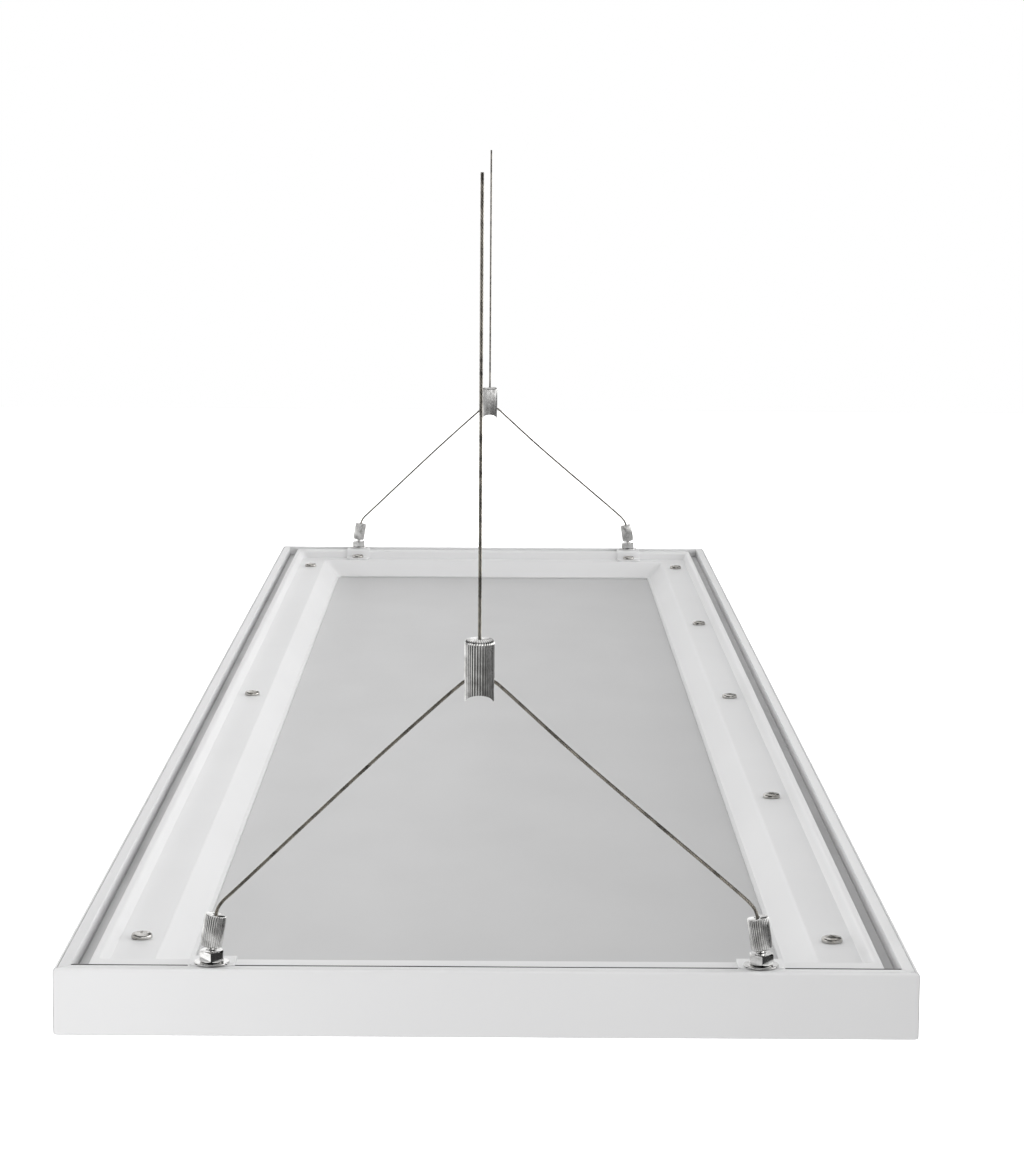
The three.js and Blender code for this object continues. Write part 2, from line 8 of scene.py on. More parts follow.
import json
import logging
import math
from dataclasses import dataclass
from enum import Enum
from functools import cached_property
from typing import Callable, Iterable, Mapping, Sequence

import bmesh
import bpy
from mathutils import Matrix, Vector
from mathutils.geometry import tessellate_polygon
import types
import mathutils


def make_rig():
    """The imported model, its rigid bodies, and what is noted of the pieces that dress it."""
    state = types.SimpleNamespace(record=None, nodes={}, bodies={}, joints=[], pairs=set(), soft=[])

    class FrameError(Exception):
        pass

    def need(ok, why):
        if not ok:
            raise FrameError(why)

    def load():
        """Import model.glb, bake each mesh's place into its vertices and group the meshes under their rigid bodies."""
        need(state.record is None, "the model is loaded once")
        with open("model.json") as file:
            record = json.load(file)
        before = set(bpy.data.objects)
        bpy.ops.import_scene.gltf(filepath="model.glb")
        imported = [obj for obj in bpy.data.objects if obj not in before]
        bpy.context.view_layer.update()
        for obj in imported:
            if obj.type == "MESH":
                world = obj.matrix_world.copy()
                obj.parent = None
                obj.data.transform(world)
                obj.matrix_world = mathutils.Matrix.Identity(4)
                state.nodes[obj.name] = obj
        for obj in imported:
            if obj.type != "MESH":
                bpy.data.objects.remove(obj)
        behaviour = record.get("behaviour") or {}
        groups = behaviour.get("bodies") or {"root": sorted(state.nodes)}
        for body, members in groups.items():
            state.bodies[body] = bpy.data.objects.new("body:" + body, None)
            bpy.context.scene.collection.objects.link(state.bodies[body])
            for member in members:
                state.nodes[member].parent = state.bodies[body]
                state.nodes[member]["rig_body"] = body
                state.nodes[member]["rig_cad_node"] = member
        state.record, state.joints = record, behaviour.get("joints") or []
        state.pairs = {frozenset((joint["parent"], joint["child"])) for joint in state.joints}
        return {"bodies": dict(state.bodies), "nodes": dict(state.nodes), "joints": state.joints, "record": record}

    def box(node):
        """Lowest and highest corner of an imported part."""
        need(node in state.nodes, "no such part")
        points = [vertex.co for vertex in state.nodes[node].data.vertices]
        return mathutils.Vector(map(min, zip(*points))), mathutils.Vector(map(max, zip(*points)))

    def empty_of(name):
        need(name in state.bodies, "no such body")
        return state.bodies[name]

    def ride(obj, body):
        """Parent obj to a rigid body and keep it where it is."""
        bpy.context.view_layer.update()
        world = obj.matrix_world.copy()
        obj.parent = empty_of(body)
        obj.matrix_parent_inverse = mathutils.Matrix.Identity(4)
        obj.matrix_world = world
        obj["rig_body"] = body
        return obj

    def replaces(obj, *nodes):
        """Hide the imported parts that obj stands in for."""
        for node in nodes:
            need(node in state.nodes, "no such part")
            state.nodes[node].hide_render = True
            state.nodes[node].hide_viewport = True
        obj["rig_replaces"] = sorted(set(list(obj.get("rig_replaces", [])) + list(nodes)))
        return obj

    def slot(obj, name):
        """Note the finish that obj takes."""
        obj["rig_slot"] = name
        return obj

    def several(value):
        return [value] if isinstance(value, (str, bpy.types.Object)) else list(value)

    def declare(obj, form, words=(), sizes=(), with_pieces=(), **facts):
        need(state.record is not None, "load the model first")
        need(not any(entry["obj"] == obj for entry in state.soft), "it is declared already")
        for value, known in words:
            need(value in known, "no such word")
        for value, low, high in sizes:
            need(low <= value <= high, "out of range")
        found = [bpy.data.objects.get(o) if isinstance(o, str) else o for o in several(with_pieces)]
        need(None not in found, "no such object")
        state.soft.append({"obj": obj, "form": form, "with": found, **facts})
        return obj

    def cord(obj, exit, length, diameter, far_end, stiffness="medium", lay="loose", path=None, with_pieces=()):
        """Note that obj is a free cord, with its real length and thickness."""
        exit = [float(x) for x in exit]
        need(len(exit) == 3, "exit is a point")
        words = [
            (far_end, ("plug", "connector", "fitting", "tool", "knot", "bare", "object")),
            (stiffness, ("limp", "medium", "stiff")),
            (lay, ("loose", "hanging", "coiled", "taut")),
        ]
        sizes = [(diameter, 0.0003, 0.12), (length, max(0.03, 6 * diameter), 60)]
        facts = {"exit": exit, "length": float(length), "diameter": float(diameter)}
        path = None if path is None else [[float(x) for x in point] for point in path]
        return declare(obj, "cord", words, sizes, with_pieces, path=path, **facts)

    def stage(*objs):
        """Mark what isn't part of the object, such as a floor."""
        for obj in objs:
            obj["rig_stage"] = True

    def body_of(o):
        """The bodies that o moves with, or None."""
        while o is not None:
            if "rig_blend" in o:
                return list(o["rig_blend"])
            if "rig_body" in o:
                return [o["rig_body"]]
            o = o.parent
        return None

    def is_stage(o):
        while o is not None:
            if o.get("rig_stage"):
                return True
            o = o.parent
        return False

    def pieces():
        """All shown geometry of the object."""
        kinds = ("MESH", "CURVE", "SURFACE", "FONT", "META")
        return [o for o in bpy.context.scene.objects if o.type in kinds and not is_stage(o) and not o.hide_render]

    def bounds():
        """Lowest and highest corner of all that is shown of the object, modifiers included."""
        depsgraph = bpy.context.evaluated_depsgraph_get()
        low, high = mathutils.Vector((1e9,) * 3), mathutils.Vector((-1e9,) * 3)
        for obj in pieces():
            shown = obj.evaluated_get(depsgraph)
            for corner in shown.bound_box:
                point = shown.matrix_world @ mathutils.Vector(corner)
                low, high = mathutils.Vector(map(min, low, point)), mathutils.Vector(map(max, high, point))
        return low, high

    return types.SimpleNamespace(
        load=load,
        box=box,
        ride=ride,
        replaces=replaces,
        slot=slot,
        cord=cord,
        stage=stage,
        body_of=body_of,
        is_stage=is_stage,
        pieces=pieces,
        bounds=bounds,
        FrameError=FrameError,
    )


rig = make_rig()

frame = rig.load()
CAD_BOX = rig.bounds()

MM = 0.001
LOG = logging.getLogger("panel_light")
JOINTS = {joint["name"]: joint for joint in frame["joints"]}
FIXTURE = "fixture"

TIP = 0.02 * MM
EVEN = (1.0, 1.0, 1.0)
WHITE = (1.0, 1.0, 1.0, 1.0)

Flat = tuple[float, float]
Colour = tuple[float, float, float, float]
Feed = object
Place = Callable[[float, float, int, float], Sequence[float]]


class Way(Enum):
    """A choice between two opposite ways."""

    @property
    def label(self) -> str:
        """The choice as the nodes spell it."""
        return self.name.lower()


class End(Way):
    """The two short ends of the light, with their sign along Y."""

    FRONT = -1
    REAR = 1


class Side(Way):
    """The two long sides of the light, with their sign along X."""

    LEFT = -1
    RIGHT = 1


class Slot(Enum):
    """The record's material slots."""

    WHITE_PAINT = "white_paint"
    GREY_PAINT = "grey_paint"
    MILL_ALUMINIUM = "mill_aluminium"
    NICKEL_PLATE = "nickel_plate"
    ZINC_STEEL = "zinc_steel"
    WIRE_ROPE = "wire_rope"
    CLEAR_ACRYLIC = "clear_acrylic"
    OPAL_ACRYLIC = "opal_acrylic"
    WHITE_FILM = "white_film"
    LED_BOARD = "led_board"
    CIRCUIT_BOARD = "circuit_board"
    BLACK_PLASTIC = "black_plastic"


# ---- Shader graphs ----


class Value:
    """A number on a shader socket, so that sums of it read as Python."""

    def __init__(self, graph: "Graph", socket: bpy.types.NodeSocket) -> None:
        """Keeps the graph that new nodes go into, and the output socket that holds the number."""
        self.graph = graph
        self.socket = socket

    def _maths(self, operation: str, first: Feed, second: Feed) -> "Value":
        """The result of one Math node on two operands."""
        node = self.graph.node("ShaderNodeMath", {"operation": operation}, {0: first, 1: second})
        return Value(self.graph, node.outputs[0])

    def __add__(self, other: Feed) -> "Value":
        """Sum."""
        return self._maths("ADD", self, other)

    __radd__ = __add__

    def __sub__(self, other: Feed) -> "Value":
        """Difference."""
        return self._maths("SUBTRACT", self, other)

    def __rsub__(self, other: Feed) -> "Value":
        """Difference from a number."""
        return self._maths("SUBTRACT", other, self)

    def __mul__(self, other: Feed) -> "Value":
        """Product."""
        return self._maths("MULTIPLY", self, other)

    __rmul__ = __mul__

    def __lt__(self, other: Feed) -> "Value":
        """One where it is below the other, and else zero."""
        return self._maths("LESS_THAN", self, other)

    def smooth(self, low: float, high: float) -> "Value":
        """Eases from zero to one as the number goes from low to high.

        Args:
            low: Where it starts.
            high: Where it ends.

        Returns:
            The eased number.
        """
        settings = {"interpolation_type": "SMOOTHSTEP"}
        sockets = {0: self, 1: low, 2: high, 3: 0.0, 4: 1.0}
        node = self.graph.node("ShaderNodeMapRange", settings, sockets)
        return Value(self.graph, node.outputs[0])


class Graph:
    """A node tree that grows by one node at a time."""

    def __init__(self, tree: bpy.types.NodeTree, coordinates: str = "Object") -> None:
        """Clears the tree.

        Args:
            tree: The tree of a material or of the world.
            coordinates: The output of Texture Coordinate that textures use.
        """
        self.tree = tree
        tree.nodes.clear()
        self.place = self.node("ShaderNodeTexCoord").outputs[coordinates]

    def node(
        self,
        kind: str,
        settings: Mapping[str, object] | None = None,
        sockets: Mapping[int | str, Feed] | None = None,
    ) -> bpy.types.Node:
        """Adds a node, sets it and feeds it.

        Args:
            kind: The node's type.
            settings: Its settings, with a ramp's stops under "stops".
            sockets: What each input socket takes, by index or name.

        Returns:
            The new node.
        """
        node = self.tree.nodes.new(kind)
        for name, setting in (settings or {}).items():
            if name != "stops":
                setattr(node, name, setting)
                continue
            for place, colour in setting[1:-1]:
                node.color_ramp.elements.new(place).color = colour
            for stop, (place, colour) in zip((0, -1), (setting[0], setting[-1])):
                node.color_ramp.elements[stop].position = place
                node.color_ramp.elements[stop].color = colour
        for key, feed in (sockets or {}).items():
            self.feed(node.inputs[key], feed)
        return node

    def feed(self, socket: bpy.types.NodeSocket, feed: Feed) -> None:
        """Links or sets one input socket.

        Args:
            socket: The input.
            feed: A Value, an output socket, or a plain number, vector or colour.
        """
        source = feed.socket if isinstance(feed, Value) else feed
        if isinstance(source, bpy.types.NodeSocket):
            self.tree.links.new(source, socket)
        else:
            socket.default_value = source

    def mix(self, first: Feed, second: Feed, factor: Feed) -> bpy.types.NodeSocket:
        """Mixes two colours, from the first at factor zero to the second at factor one."""
        sockets = {0: factor, 6: first, 7: second}
        return self.node("ShaderNodeMix", {"data_type": "RGBA"}, sockets).outputs[2]

    def stretched(self, stretch: Sequence[float]) -> bpy.types.NodeSocket:
        """Object coordinates, stretched along the axes.

        Args:
            stretch: The factor on each axis.

        Returns:
            The vector's socket.
        """
        if tuple(stretch) == EVEN:
            return self.place
        sockets = {0: self.place, 1: tuple(stretch)}
        return self.node("ShaderNodeVectorMath", {"operation": "MULTIPLY"}, sockets).outputs[0]

    def noise(self, size: float, detail: float = 2.0, stretch: Sequence[float] = EVEN) -> Value:
        """Soft noise from about 0.3 to 0.7, of a feature size, an octave count and a stretch."""
        sockets = {"Vector": self.stretched(stretch), "Scale": 1.0 / size, "Detail": detail}
        return Value(self, self.node("ShaderNodeTexNoise", None, sockets).outputs[0])

    def specks(self, spacing: float, radius: float, share: float) -> Value:
        """Round specks, one at most in each cell.

        Args:
            spacing: The size of a cell.
            radius: The radius of a speck.
            share: The share of the cells that hold one.

        Returns:
            One on a speck, and else zero.
        """
        sockets = {"Vector": self.place, "Scale": 1.0 / spacing}
        cells = self.node("ShaderNodeTexVoronoi", None, sockets)
        split = self.node("ShaderNodeSeparateColor", None, {0: cells.outputs["Color"]})
        near = Value(self, cells.outputs["Distance"]) < radius / spacing
        return near * (Value(self, split.outputs[0]) < share)

    def bump(self, height: Value, depth: float) -> bpy.types.NodeSocket:
        """A bumped normal from a height of zero to one, where one is the depth in metres."""
        sockets = {"Strength": 1.0, "Distance": depth, "Height": height}
        return self.node("ShaderNodeBump", None, sockets).outputs[0]


# ---- Finishes ----


@dataclass(frozen=True)
class Finish:
    """One surface finish, made into one material the first time it is used."""

    name: str
    slot: Slot

    def sockets(self, graph: Graph) -> dict[str, Feed]:
        """The Principled shader's inputs by name, made in the material's graph."""
        raise NotImplementedError(self.name)

    @cached_property
    def material(self) -> bpy.types.Material:
        """Makes the material, once.

        Returns:
            The material of this finish.
        """
        material = bpy.data.materials.new(self.name)
        material.use_nodes = True
        graph = Graph(material.node_tree)
        shader = graph.node("ShaderNodeBsdfPrincipled", None, self.sockets(graph))
        graph.node("ShaderNodeOutputMaterial", None, {"Surface": shader.outputs[0]})
        return material

    def dress(self, piece: bpy.types.Object) -> bpy.types.Object:
        """Puts the finish on a piece.

        Args:
            piece: The mesh object.

        Returns:
            The same object.
        """
        piece.data.materials.clear()
        piece.data.materials.append(self.material)
        return piece


@dataclass(frozen=True)
class Paint(Finish):
    """A baked paint film: slight orange peel, cloudy tint and a few specks of dust."""

    light: Colour
    dark: Colour
    roughness: float
    peel_size: float
    peel_depth: float
    dust: Colour
    dust_share: float
    cloud_size: float = 0.09
    dust_spacing: float = 0.021
    dust_radius: float = 0.00022
    rub_size: float = 0.03

    def sockets(self, graph: Graph) -> dict[str, Feed]:
        """What the shader takes.

        Args:
            graph: The material's graph.

        Returns:
            The Principled shader's inputs by name.
        """
        clouds = graph.noise(self.cloud_size, 4.0).smooth(0.3, 0.7)
        dust = graph.specks(self.dust_spacing, self.dust_radius, self.dust_share)
        tint = graph.mix(self.light, self.dark, clouds)
        peel = graph.noise(self.peel_size, 3.0)
        rubbed = graph.noise(self.rub_size, 3.0, (1.0, 0.4, 1.0))
        return {
            "Base Color": graph.mix(tint, self.dust, dust),
            "Roughness": self.roughness + 0.12 * (rubbed - 0.5) + 0.2 * dust,
            "Normal": graph.bump(peel, self.peel_depth),
            "IOR": 1.5,
        }


@dataclass(frozen=True)
class Plate(Finish):
    """A metal surface: cloudy tarnish, drawn or turned grain and fine handling marks."""

    light: Colour
    dark: Colour
    roughness: float
    grain: Sequence[float]
    grain_size: float
    grain_depth: float
    cloud_size: float = 0.0035
    mark_size: float = 0.0012

    def sockets(self, graph: Graph) -> dict[str, Feed]:
        """What the shader takes.

        Args:
            graph: The material's graph.

        Returns:
            The Principled shader's inputs by name.
        """
        grain = graph.noise(self.grain_size, 4.0, self.grain)
        tarnish = graph.noise(self.cloud_size, 4.0).smooth(0.35, 0.75)
        handled = graph.noise(self.mark_size, 2.0)
        return {
            "Base Color": graph.mix(self.light, self.dark, tarnish),
            "Metallic": 1.0,
            "Roughness": self.roughness + 0.08 * (handled - 0.5) + 0.07 * tarnish,
            "Normal": graph.bump(grain, self.grain_depth),
        }


@dataclass(frozen=True)
class Plastic(Finish):
    """A moulded or extruded plastic: a faint tint and a fine matt texture."""

    light: Colour
    dark: Colour
    roughness: float
    texture_size: float
    texture_depth: float
    subsurface: float = 0.0
    cloud_size: float = 0.05

    def sockets(self, graph: Graph) -> dict[str, Feed]:
        """What the shader takes.

        Args:
            graph: The material's graph.

        Returns:
            The Principled shader's inputs by name.
        """
        texture = graph.noise(self.texture_size, 2.0)
        clouds = graph.noise(self.cloud_size, 3.0).smooth(0.3, 0.7)
        return {
            "Base Color": graph.mix(self.light, self.dark, clouds),
            "Roughness": self.roughness + 0.1 * (clouds - 0.5),
            "Normal": graph.bump(texture, self.texture_depth),
            "Subsurface Weight": self.subsurface,
            "Subsurface Radius": (0.002, 0.002, 0.002),
        }


@dataclass(frozen=True)
class ClearSheet(Finish):
    """Polished clear sheet with faint smears."""

    tint: Colour
    smear_tint: Colour = (0.88, 0.95, 0.94, 1.0)
    smear_size: float = 0.04

    def sockets(self, graph: Graph) -> dict[str, Feed]:
        """What the shader takes.

        Args:
            graph: The material's graph.

        Returns:
            The Principled shader's inputs by name.
        """
        smears = graph.noise(self.smear_size, 4.0)
        return {
            "Base Color": graph.mix(self.tint, self.smear_tint, smears),
            "Roughness": 0.03 + 0.08 * smears,
            "Transmission Weight": 0.9,
            "IOR": 1.49,
        }


@dataclass(frozen=True)
class SolderMask(Finish):
    """A printed board: tracks stand slightly proud under the solder mask."""

    mask: Colour
    track: Colour
    pitch: float
    track_height: float = 0.04 * MM
    grain_size: float = 4.0 * MM

    def sockets(self, graph: Graph) -> dict[str, Feed]:
        """What the shader takes.

        Args:
            graph: The material's graph.

        Returns:
            The Principled shader's inputs by name.
        """
        cells = graph.node(
            "ShaderNodeTexVoronoi",
            {"feature": "DISTANCE_TO_EDGE"},
            {"Vector": graph.place, "Scale": 1.0 / self.pitch},
        )
        track = Value(graph, cells.outputs["Distance"]).smooth(0.05, 0.12)
        return {
            "Base Color": graph.mix(self.track, self.mask, track),
            "Roughness": 0.42 + 0.1 * graph.noise(self.grain_size),
            "Normal": graph.bump(1.0 - track, self.track_height),
        }


POWDER_COAT = Paint(
    "powder_coat", Slot.WHITE_PAINT,
    light=(0.80, 0.80, 0.803, 1.0), dark=(0.78, 0.78, 0.783, 1.0),
    roughness=0.42, peel_size=0.0011, peel_depth=0.000012,
    dust=(0.45, 0.43, 0.40, 1.0), dust_share=0.05,
)
COIL_COAT = Paint(
    "coil_coat", Slot.GREY_PAINT,
    light=(0.56, 0.56, 0.562, 1.0), dark=(0.545, 0.545, 0.547, 1.0),
    roughness=0.38, peel_size=0.0018, peel_depth=0.000008,
    dust=(0.36, 0.35, 0.34, 1.0), dust_share=0.09,
)
MILL_FINISH = Plate(
    "mill_finish", Slot.MILL_ALUMINIUM,
    light=(0.54, 0.54, 0.543, 1.0), dark=(0.48, 0.48, 0.483, 1.0),
    roughness=0.5, grain=(1.0, 0.03, 1.0), grain_size=0.0004, grain_depth=0.00001,
    cloud_size=0.06,
)
NICKEL = Plate(
    "nickel", Slot.NICKEL_PLATE,
    light=(0.76, 0.756, 0.747, 1.0), dark=(0.46, 0.456, 0.446, 1.0),
    roughness=0.07, grain=(1.0, 1.0, 0.12), grain_size=0.0003, grain_depth=0.0000015,
)
ZINC = Plate(
    "zinc", Slot.ZINC_STEEL,
    light=(0.56, 0.55, 0.53, 1.0), dark=(0.34, 0.325, 0.30, 1.0),
    roughness=0.22, grain=(1.0, 1.0, 1.0), grain_size=0.0005, grain_depth=0.000008,
)
ROPE_STEEL = Plate(
    "rope_steel", Slot.WIRE_ROPE,
    light=(0.37, 0.345, 0.30, 1.0), dark=(0.09, 0.085, 0.078, 1.0),
    roughness=0.22, grain=(1.0, 1.0, 1.0), grain_size=0.0004, grain_depth=0.000006,
)
ACRYLIC = ClearSheet("acrylic", Slot.CLEAR_ACRYLIC, tint=(0.96, 0.98, 0.98, 1.0))
OPAL = Plastic(
    "opal", Slot.OPAL_ACRYLIC,
    light=(0.88, 0.88, 0.865, 1.0), dark=(0.86, 0.86, 0.845, 1.0),
    roughness=0.5, texture_size=0.0007, texture_depth=0.000015, subsurface=0.3,
)
FILM = Plastic(
    "film", Slot.WHITE_FILM,
    light=(0.92, 0.92, 0.92, 1.0), dark=(0.89, 0.89, 0.89, 1.0),
    roughness=0.6, texture_size=0.0004, texture_depth=0.00001,
)
LED_BOARD = SolderMask(
    "led_board", Slot.LED_BOARD,
    mask=(0.84, 0.84, 0.80, 1.0), track=(0.72, 0.72, 0.68, 1.0), pitch=0.006,
)
GREEN_BOARD = SolderMask(
    "green_board", Slot.CIRCUIT_BOARD,
    mask=(0.015, 0.11, 0.045, 1.0), track=(0.04, 0.2, 0.09, 1.0), pitch=0.004,
)
# Near-black for the strip in the front gap; it makes that gap show as a dark line.
GAP_BLACK = Plastic(
    "rubber", Slot.BLACK_PLASTIC,
    light=(0.012, 0.012, 0.012, 1.0), dark=(0.022, 0.021, 0.020, 1.0),
    roughness=0.8, texture_size=0.0003, texture_depth=0.00003,
)
BLACK_PLASTIC = Plastic(
    "black_plastic", Slot.BLACK_PLASTIC,
    light=(0.010, 0.010, 0.011, 1.0), dark=(0.016, 0.016, 0.017, 1.0),
    roughness=0.38, texture_size=0.0005, texture_depth=0.00001,
)


# ---- Outlines ----


def arc(centre: Flat, radius: float, start: float, stop: float, steps: int) -> list[Flat]:
    """The steps + 1 points along an arc, from a start to a stop angle in degrees."""
    angles = [math.radians(start + (stop - start) * i / steps) for i in range(steps + 1)]
    return [(centre[0] + radius * math.cos(a), centre[1] + radius * math.sin(a)) for a in angles]


def filleted(line: Sequence[Flat], radii: Sequence[float], steps: int = 6) -> list[Flat]:
    """Rounds the inner corners of an open line.

    Args:
        line: The line's corners.
        radii: The radius at each inner corner.
        steps: How many steps each bend takes.

    Returns:
        The line with an arc at each inner corner.
    """
    made = [tuple(line[0])]
    for before, corner, after, radius in zip(line, line[1:], line[2:], radii):
        point = Vector(corner)
        back = (Vector(before) - point).normalized()
        ahead = (Vector(after) - point).normalized()
        half = back.angle(ahead) / 2
        centre = point + (back + ahead).normalized() * radius / math.sin(half)
        first = point + back * radius / math.tan(half) - centre
        last = point + ahead * radius / math.tan(half) - centre
        turn = first.angle_signed(last)
        for i in range(steps + 1):
            angle = -turn * i / steps
            across = first.x * math.cos(angle) - first.y * math.sin(angle)
            up = first.x * math.sin(angle) + first.y * math.cos(angle)
            made.append((centre.x + across, centre.y + up))
    made.append(tuple(line[-1]))
    return made


def offset(line: Sequence[Flat], distance: float) -> list[Flat]:
    """Moves an open line to its left, with mitred corners.

    Args:
        line: The line's points.
        distance: How far it moves.

    Returns:
        The moved points.
    """
    runs = [(Vector(b) - Vector(a)).normalized() for a, b in zip(line, line[1:])]
    normals = [Vector((-run.y, run.x)) for run in runs]
    moved = []
    for i, point in enumerate(line):
        before = normals[max(i - 1, 0)]
        after = normals[min(i, len(normals) - 1)]
        shift = (before + after) * distance / (1 + before.dot(after))
        moved.append((point[0] + shift.x, point[1] + shift.y))
    return moved


# ---- Meshes ----


def settle(mesh: bpy.types.Mesh, crease: float) -> bpy.types.Mesh:
    """Turns a mesh's faces outwards and smooths it between its creases.

    Args:
        mesh: The mesh.
        crease: The angle in degrees above which an edge stays sharp.

    Returns:
        The same mesh.
    """
    work = bmesh.new()
    work.from_mesh(mesh)
    bmesh.ops.remove_doubles(work, verts=work.verts, dist=1e-8)
    bmesh.ops.recalc_face_normals(work, faces=work.faces)
    work.to_mesh(mesh)
    work.free()
    mesh.polygons.foreach_set("use_smooth", [True] * len(mesh.polygons))
    mesh.set_sharp_from_angle(angle=math.radians(crease))
    mesh.update()
    return mesh


class Shell:
    """Loops of points that bands and lids close into one surface."""

    def __init__(self) -> None:
        """Starts empty."""
        self.points: list[Vector] = []
        self.faces: list[Sequence[int]] = []

    def loop(self, points: Iterable[Sequence[float]]) -> list[int]:
        """Adds a loop of points.

        Args:
            points: The points, in order.

        Returns:
            Their indices.
        """
        start = len(self.points)
        self.points.extend(Vector(point) for point in points)
        return list(range(start, len(self.points)))

    def bands(self, loops: Sequence[Sequence[int]], ring: bool = False) -> None:
        """Joins closed loops of as many points, one after another.

        Args:
            loops: The loops.
            ring: Whether the last one joins the first.
        """
        line = [*loops, loops[0]] if ring else loops
        for first, second in zip(line, line[1:]):
            for i in range(len(first)):
                j = (i + 1) % len(first)
                self.faces.append((first[i], first[j], second[j], second[i]))

    def tube(self, loops: Sequence[Sequence[int]]) -> "Shell":
        """Joins closed loops and closes the first and the last.

        Args:
            loops: The loops.

        Returns:
            This shell.
        """
        self.bands(loops)
        self.lid(loops[0])
        self.lid(loops[-1])
        return self

    def lid(self, *loops: Sequence[int]) -> None:
        """Closes a flat outline, less the holes in it.

        Args:
            loops: The outline, then each hole.
        """
        if len(loops) == 1:
            self.faces.append(tuple(loops[0]))
            return
        order = [index for loop in loops for index in loop]
        outlines = [[self.points[index] for index in loop] for loop in loops]
        for triangle in tessellate_polygon(outlines):
            self.faces.append(tuple(order[corner] for corner in triangle))

    def mesh(self, name: str, crease: float = 30.0) -> bpy.types.Mesh:
        """Makes the mesh.

        Args:
            name: The mesh's name.
            crease: The angle in degrees above which an edge stays sharp.

        Returns:
            The mesh.
        """
        mesh = bpy.data.meshes.new(name)
        mesh.from_pydata(self.points, [], self.faces)
        return settle(mesh, crease)


def prism(outline: Sequence[Flat], low: float, high: float, axis: str = "Z") -> bpy.types.Mesh:
    """A straight solid on an outline, used to cut with.

    Args:
        outline: The outline across the axis.
        low: Where it starts along the axis.
        high: Where it ends.
        axis: The axis, X, Y or Z; the outline is in the other two, in order.

    Returns:
        The mesh.
    """
    order = {"X": (2, 0, 1), "Y": (0, 2, 1), "Z": (0, 1, 2)}[axis]
    shell = Shell()
    ends = []
    for level in (low, high):
        points = [(across, up, level) for across, up in outline]
        ends.append(shell.loop([point[i] for i in order] for point in points))
    return shell.tube(ends).mesh("cutter")


def carved(
    mesh: bpy.types.Mesh, cutters: Sequence[bpy.types.Mesh], crease: float = 30.0
) -> bpy.types.Mesh:
    """Cuts solids out of a mesh.

    Args:
        mesh: The closed mesh that is cut.
        cutters: The closed meshes that are taken away.
        crease: The angle in degrees above which an edge stays sharp.

    Returns:
        The cut mesh.
    """
    objects = []
    for shape in (mesh, *cutters):
        objects.append(bpy.data.objects.new("blank", shape))
        bpy.context.scene.collection.objects.link(objects[-1])
    for tool in objects[1:]:
        cut = objects[0].modifiers.new("cut", "BOOLEAN")
        cut.operation = "DIFFERENCE"
        cut.solver = "EXACT"
        cut.object = tool
    graph = bpy.context.evaluated_depsgraph_get()
    made = bpy.data.meshes.new_from_object(objects[0].evaluated_get(graph))
    made.name = mesh.name
    for used in objects:
        bpy.data.objects.remove(used)
    return settle(made, crease)


@dataclass(frozen=True)
class Knurl:
    """Straight ribs round a turned piece."""

    ribs: int
    depth: float

    def groove(self, angle: float) -> float:
        """How deep the surface lies at an angle."""
        return self.depth * (1.0 - abs(math.sin(self.ribs * angle / 2.0)))


def turned(
    profile: Sequence[Sequence[float]],
    steps: int,
    knurl: Knurl | None = None,
    ring: bool = False,
) -> Shell:
    """A surface turned about the Z axis.

    Args:
        profile: Points of radius, height and, where it is knurled, share of the ribs.
        steps: The steps round the axis.
        knurl: The ribs that its knurled points have.
        ring: Whether the profile closes on itself instead of starting and ending on the axis.

    Returns:
        The closed shell.
    """
    shell = Shell()
    angles = [2 * math.pi * i / steps for i in range(steps)]
    loops = []
    for radius, height, *share in profile:
        points = []
        for angle in angles:
            r = radius - (share[0] * knurl.groove(angle) if share and knurl else 0.0)
            points.append((r * math.cos(angle), r * math.sin(angle), height))
        loops.append(shell.loop(points))
    if not ring:
        return shell.tube(loops)
    shell.bands(loops, ring=True)
    return shell


def rounded_profile(low: Flat, high: Flat, edge: float, steps: int = 4) -> list[Flat]:
    """A rectangle of radius and height with rounded edges.

    Args:
        low: The inner radius and the lower height.
        high: The outer radius and the upper height.
        edge: The radius of the edges.
        steps: The steps of each edge.

    Returns:
        The closed outline.
    """
    corners = [
        ((high[0] - edge, high[1] - edge), 0),
        ((low[0] + edge, high[1] - edge), 90),
        ((low[0] + edge, low[1] + edge), 180),
        ((high[0] - edge, low[1] + edge), 270),
    ]
    arcs = [arc(centre, edge, start, start + 90, steps) for centre, start in corners]
    return [point for points in arcs for point in points]


def piece(
    name: str,
    mesh: bpy.types.Mesh,
    finish: Finish,
    body: str,
    nodes: Sequence[str],
    place: Matrix | None = None,
) -> bpy.types.Object:
    """Makes one piece of the light that stands for CAD nodes.

    Args:
        name: The piece's name.
        mesh: Its mesh.
        finish: Its finish.
        body: The body that it rides on.
        nodes: The nodes that it stands for.
        place: Its place, where its mesh isn't already in place.

    Returns:
        The new object.
    """
    made = bpy.data.objects.new(name, mesh)
    bpy.context.scene.collection.objects.link(made)
    if place is not None:
        made.matrix_world = place
    finish.dress(made)
    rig.slot(made, finish.slot.value)
    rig.replaces(made, *nodes)
    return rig.ride(made, body)


# ---- Wire ropes ----


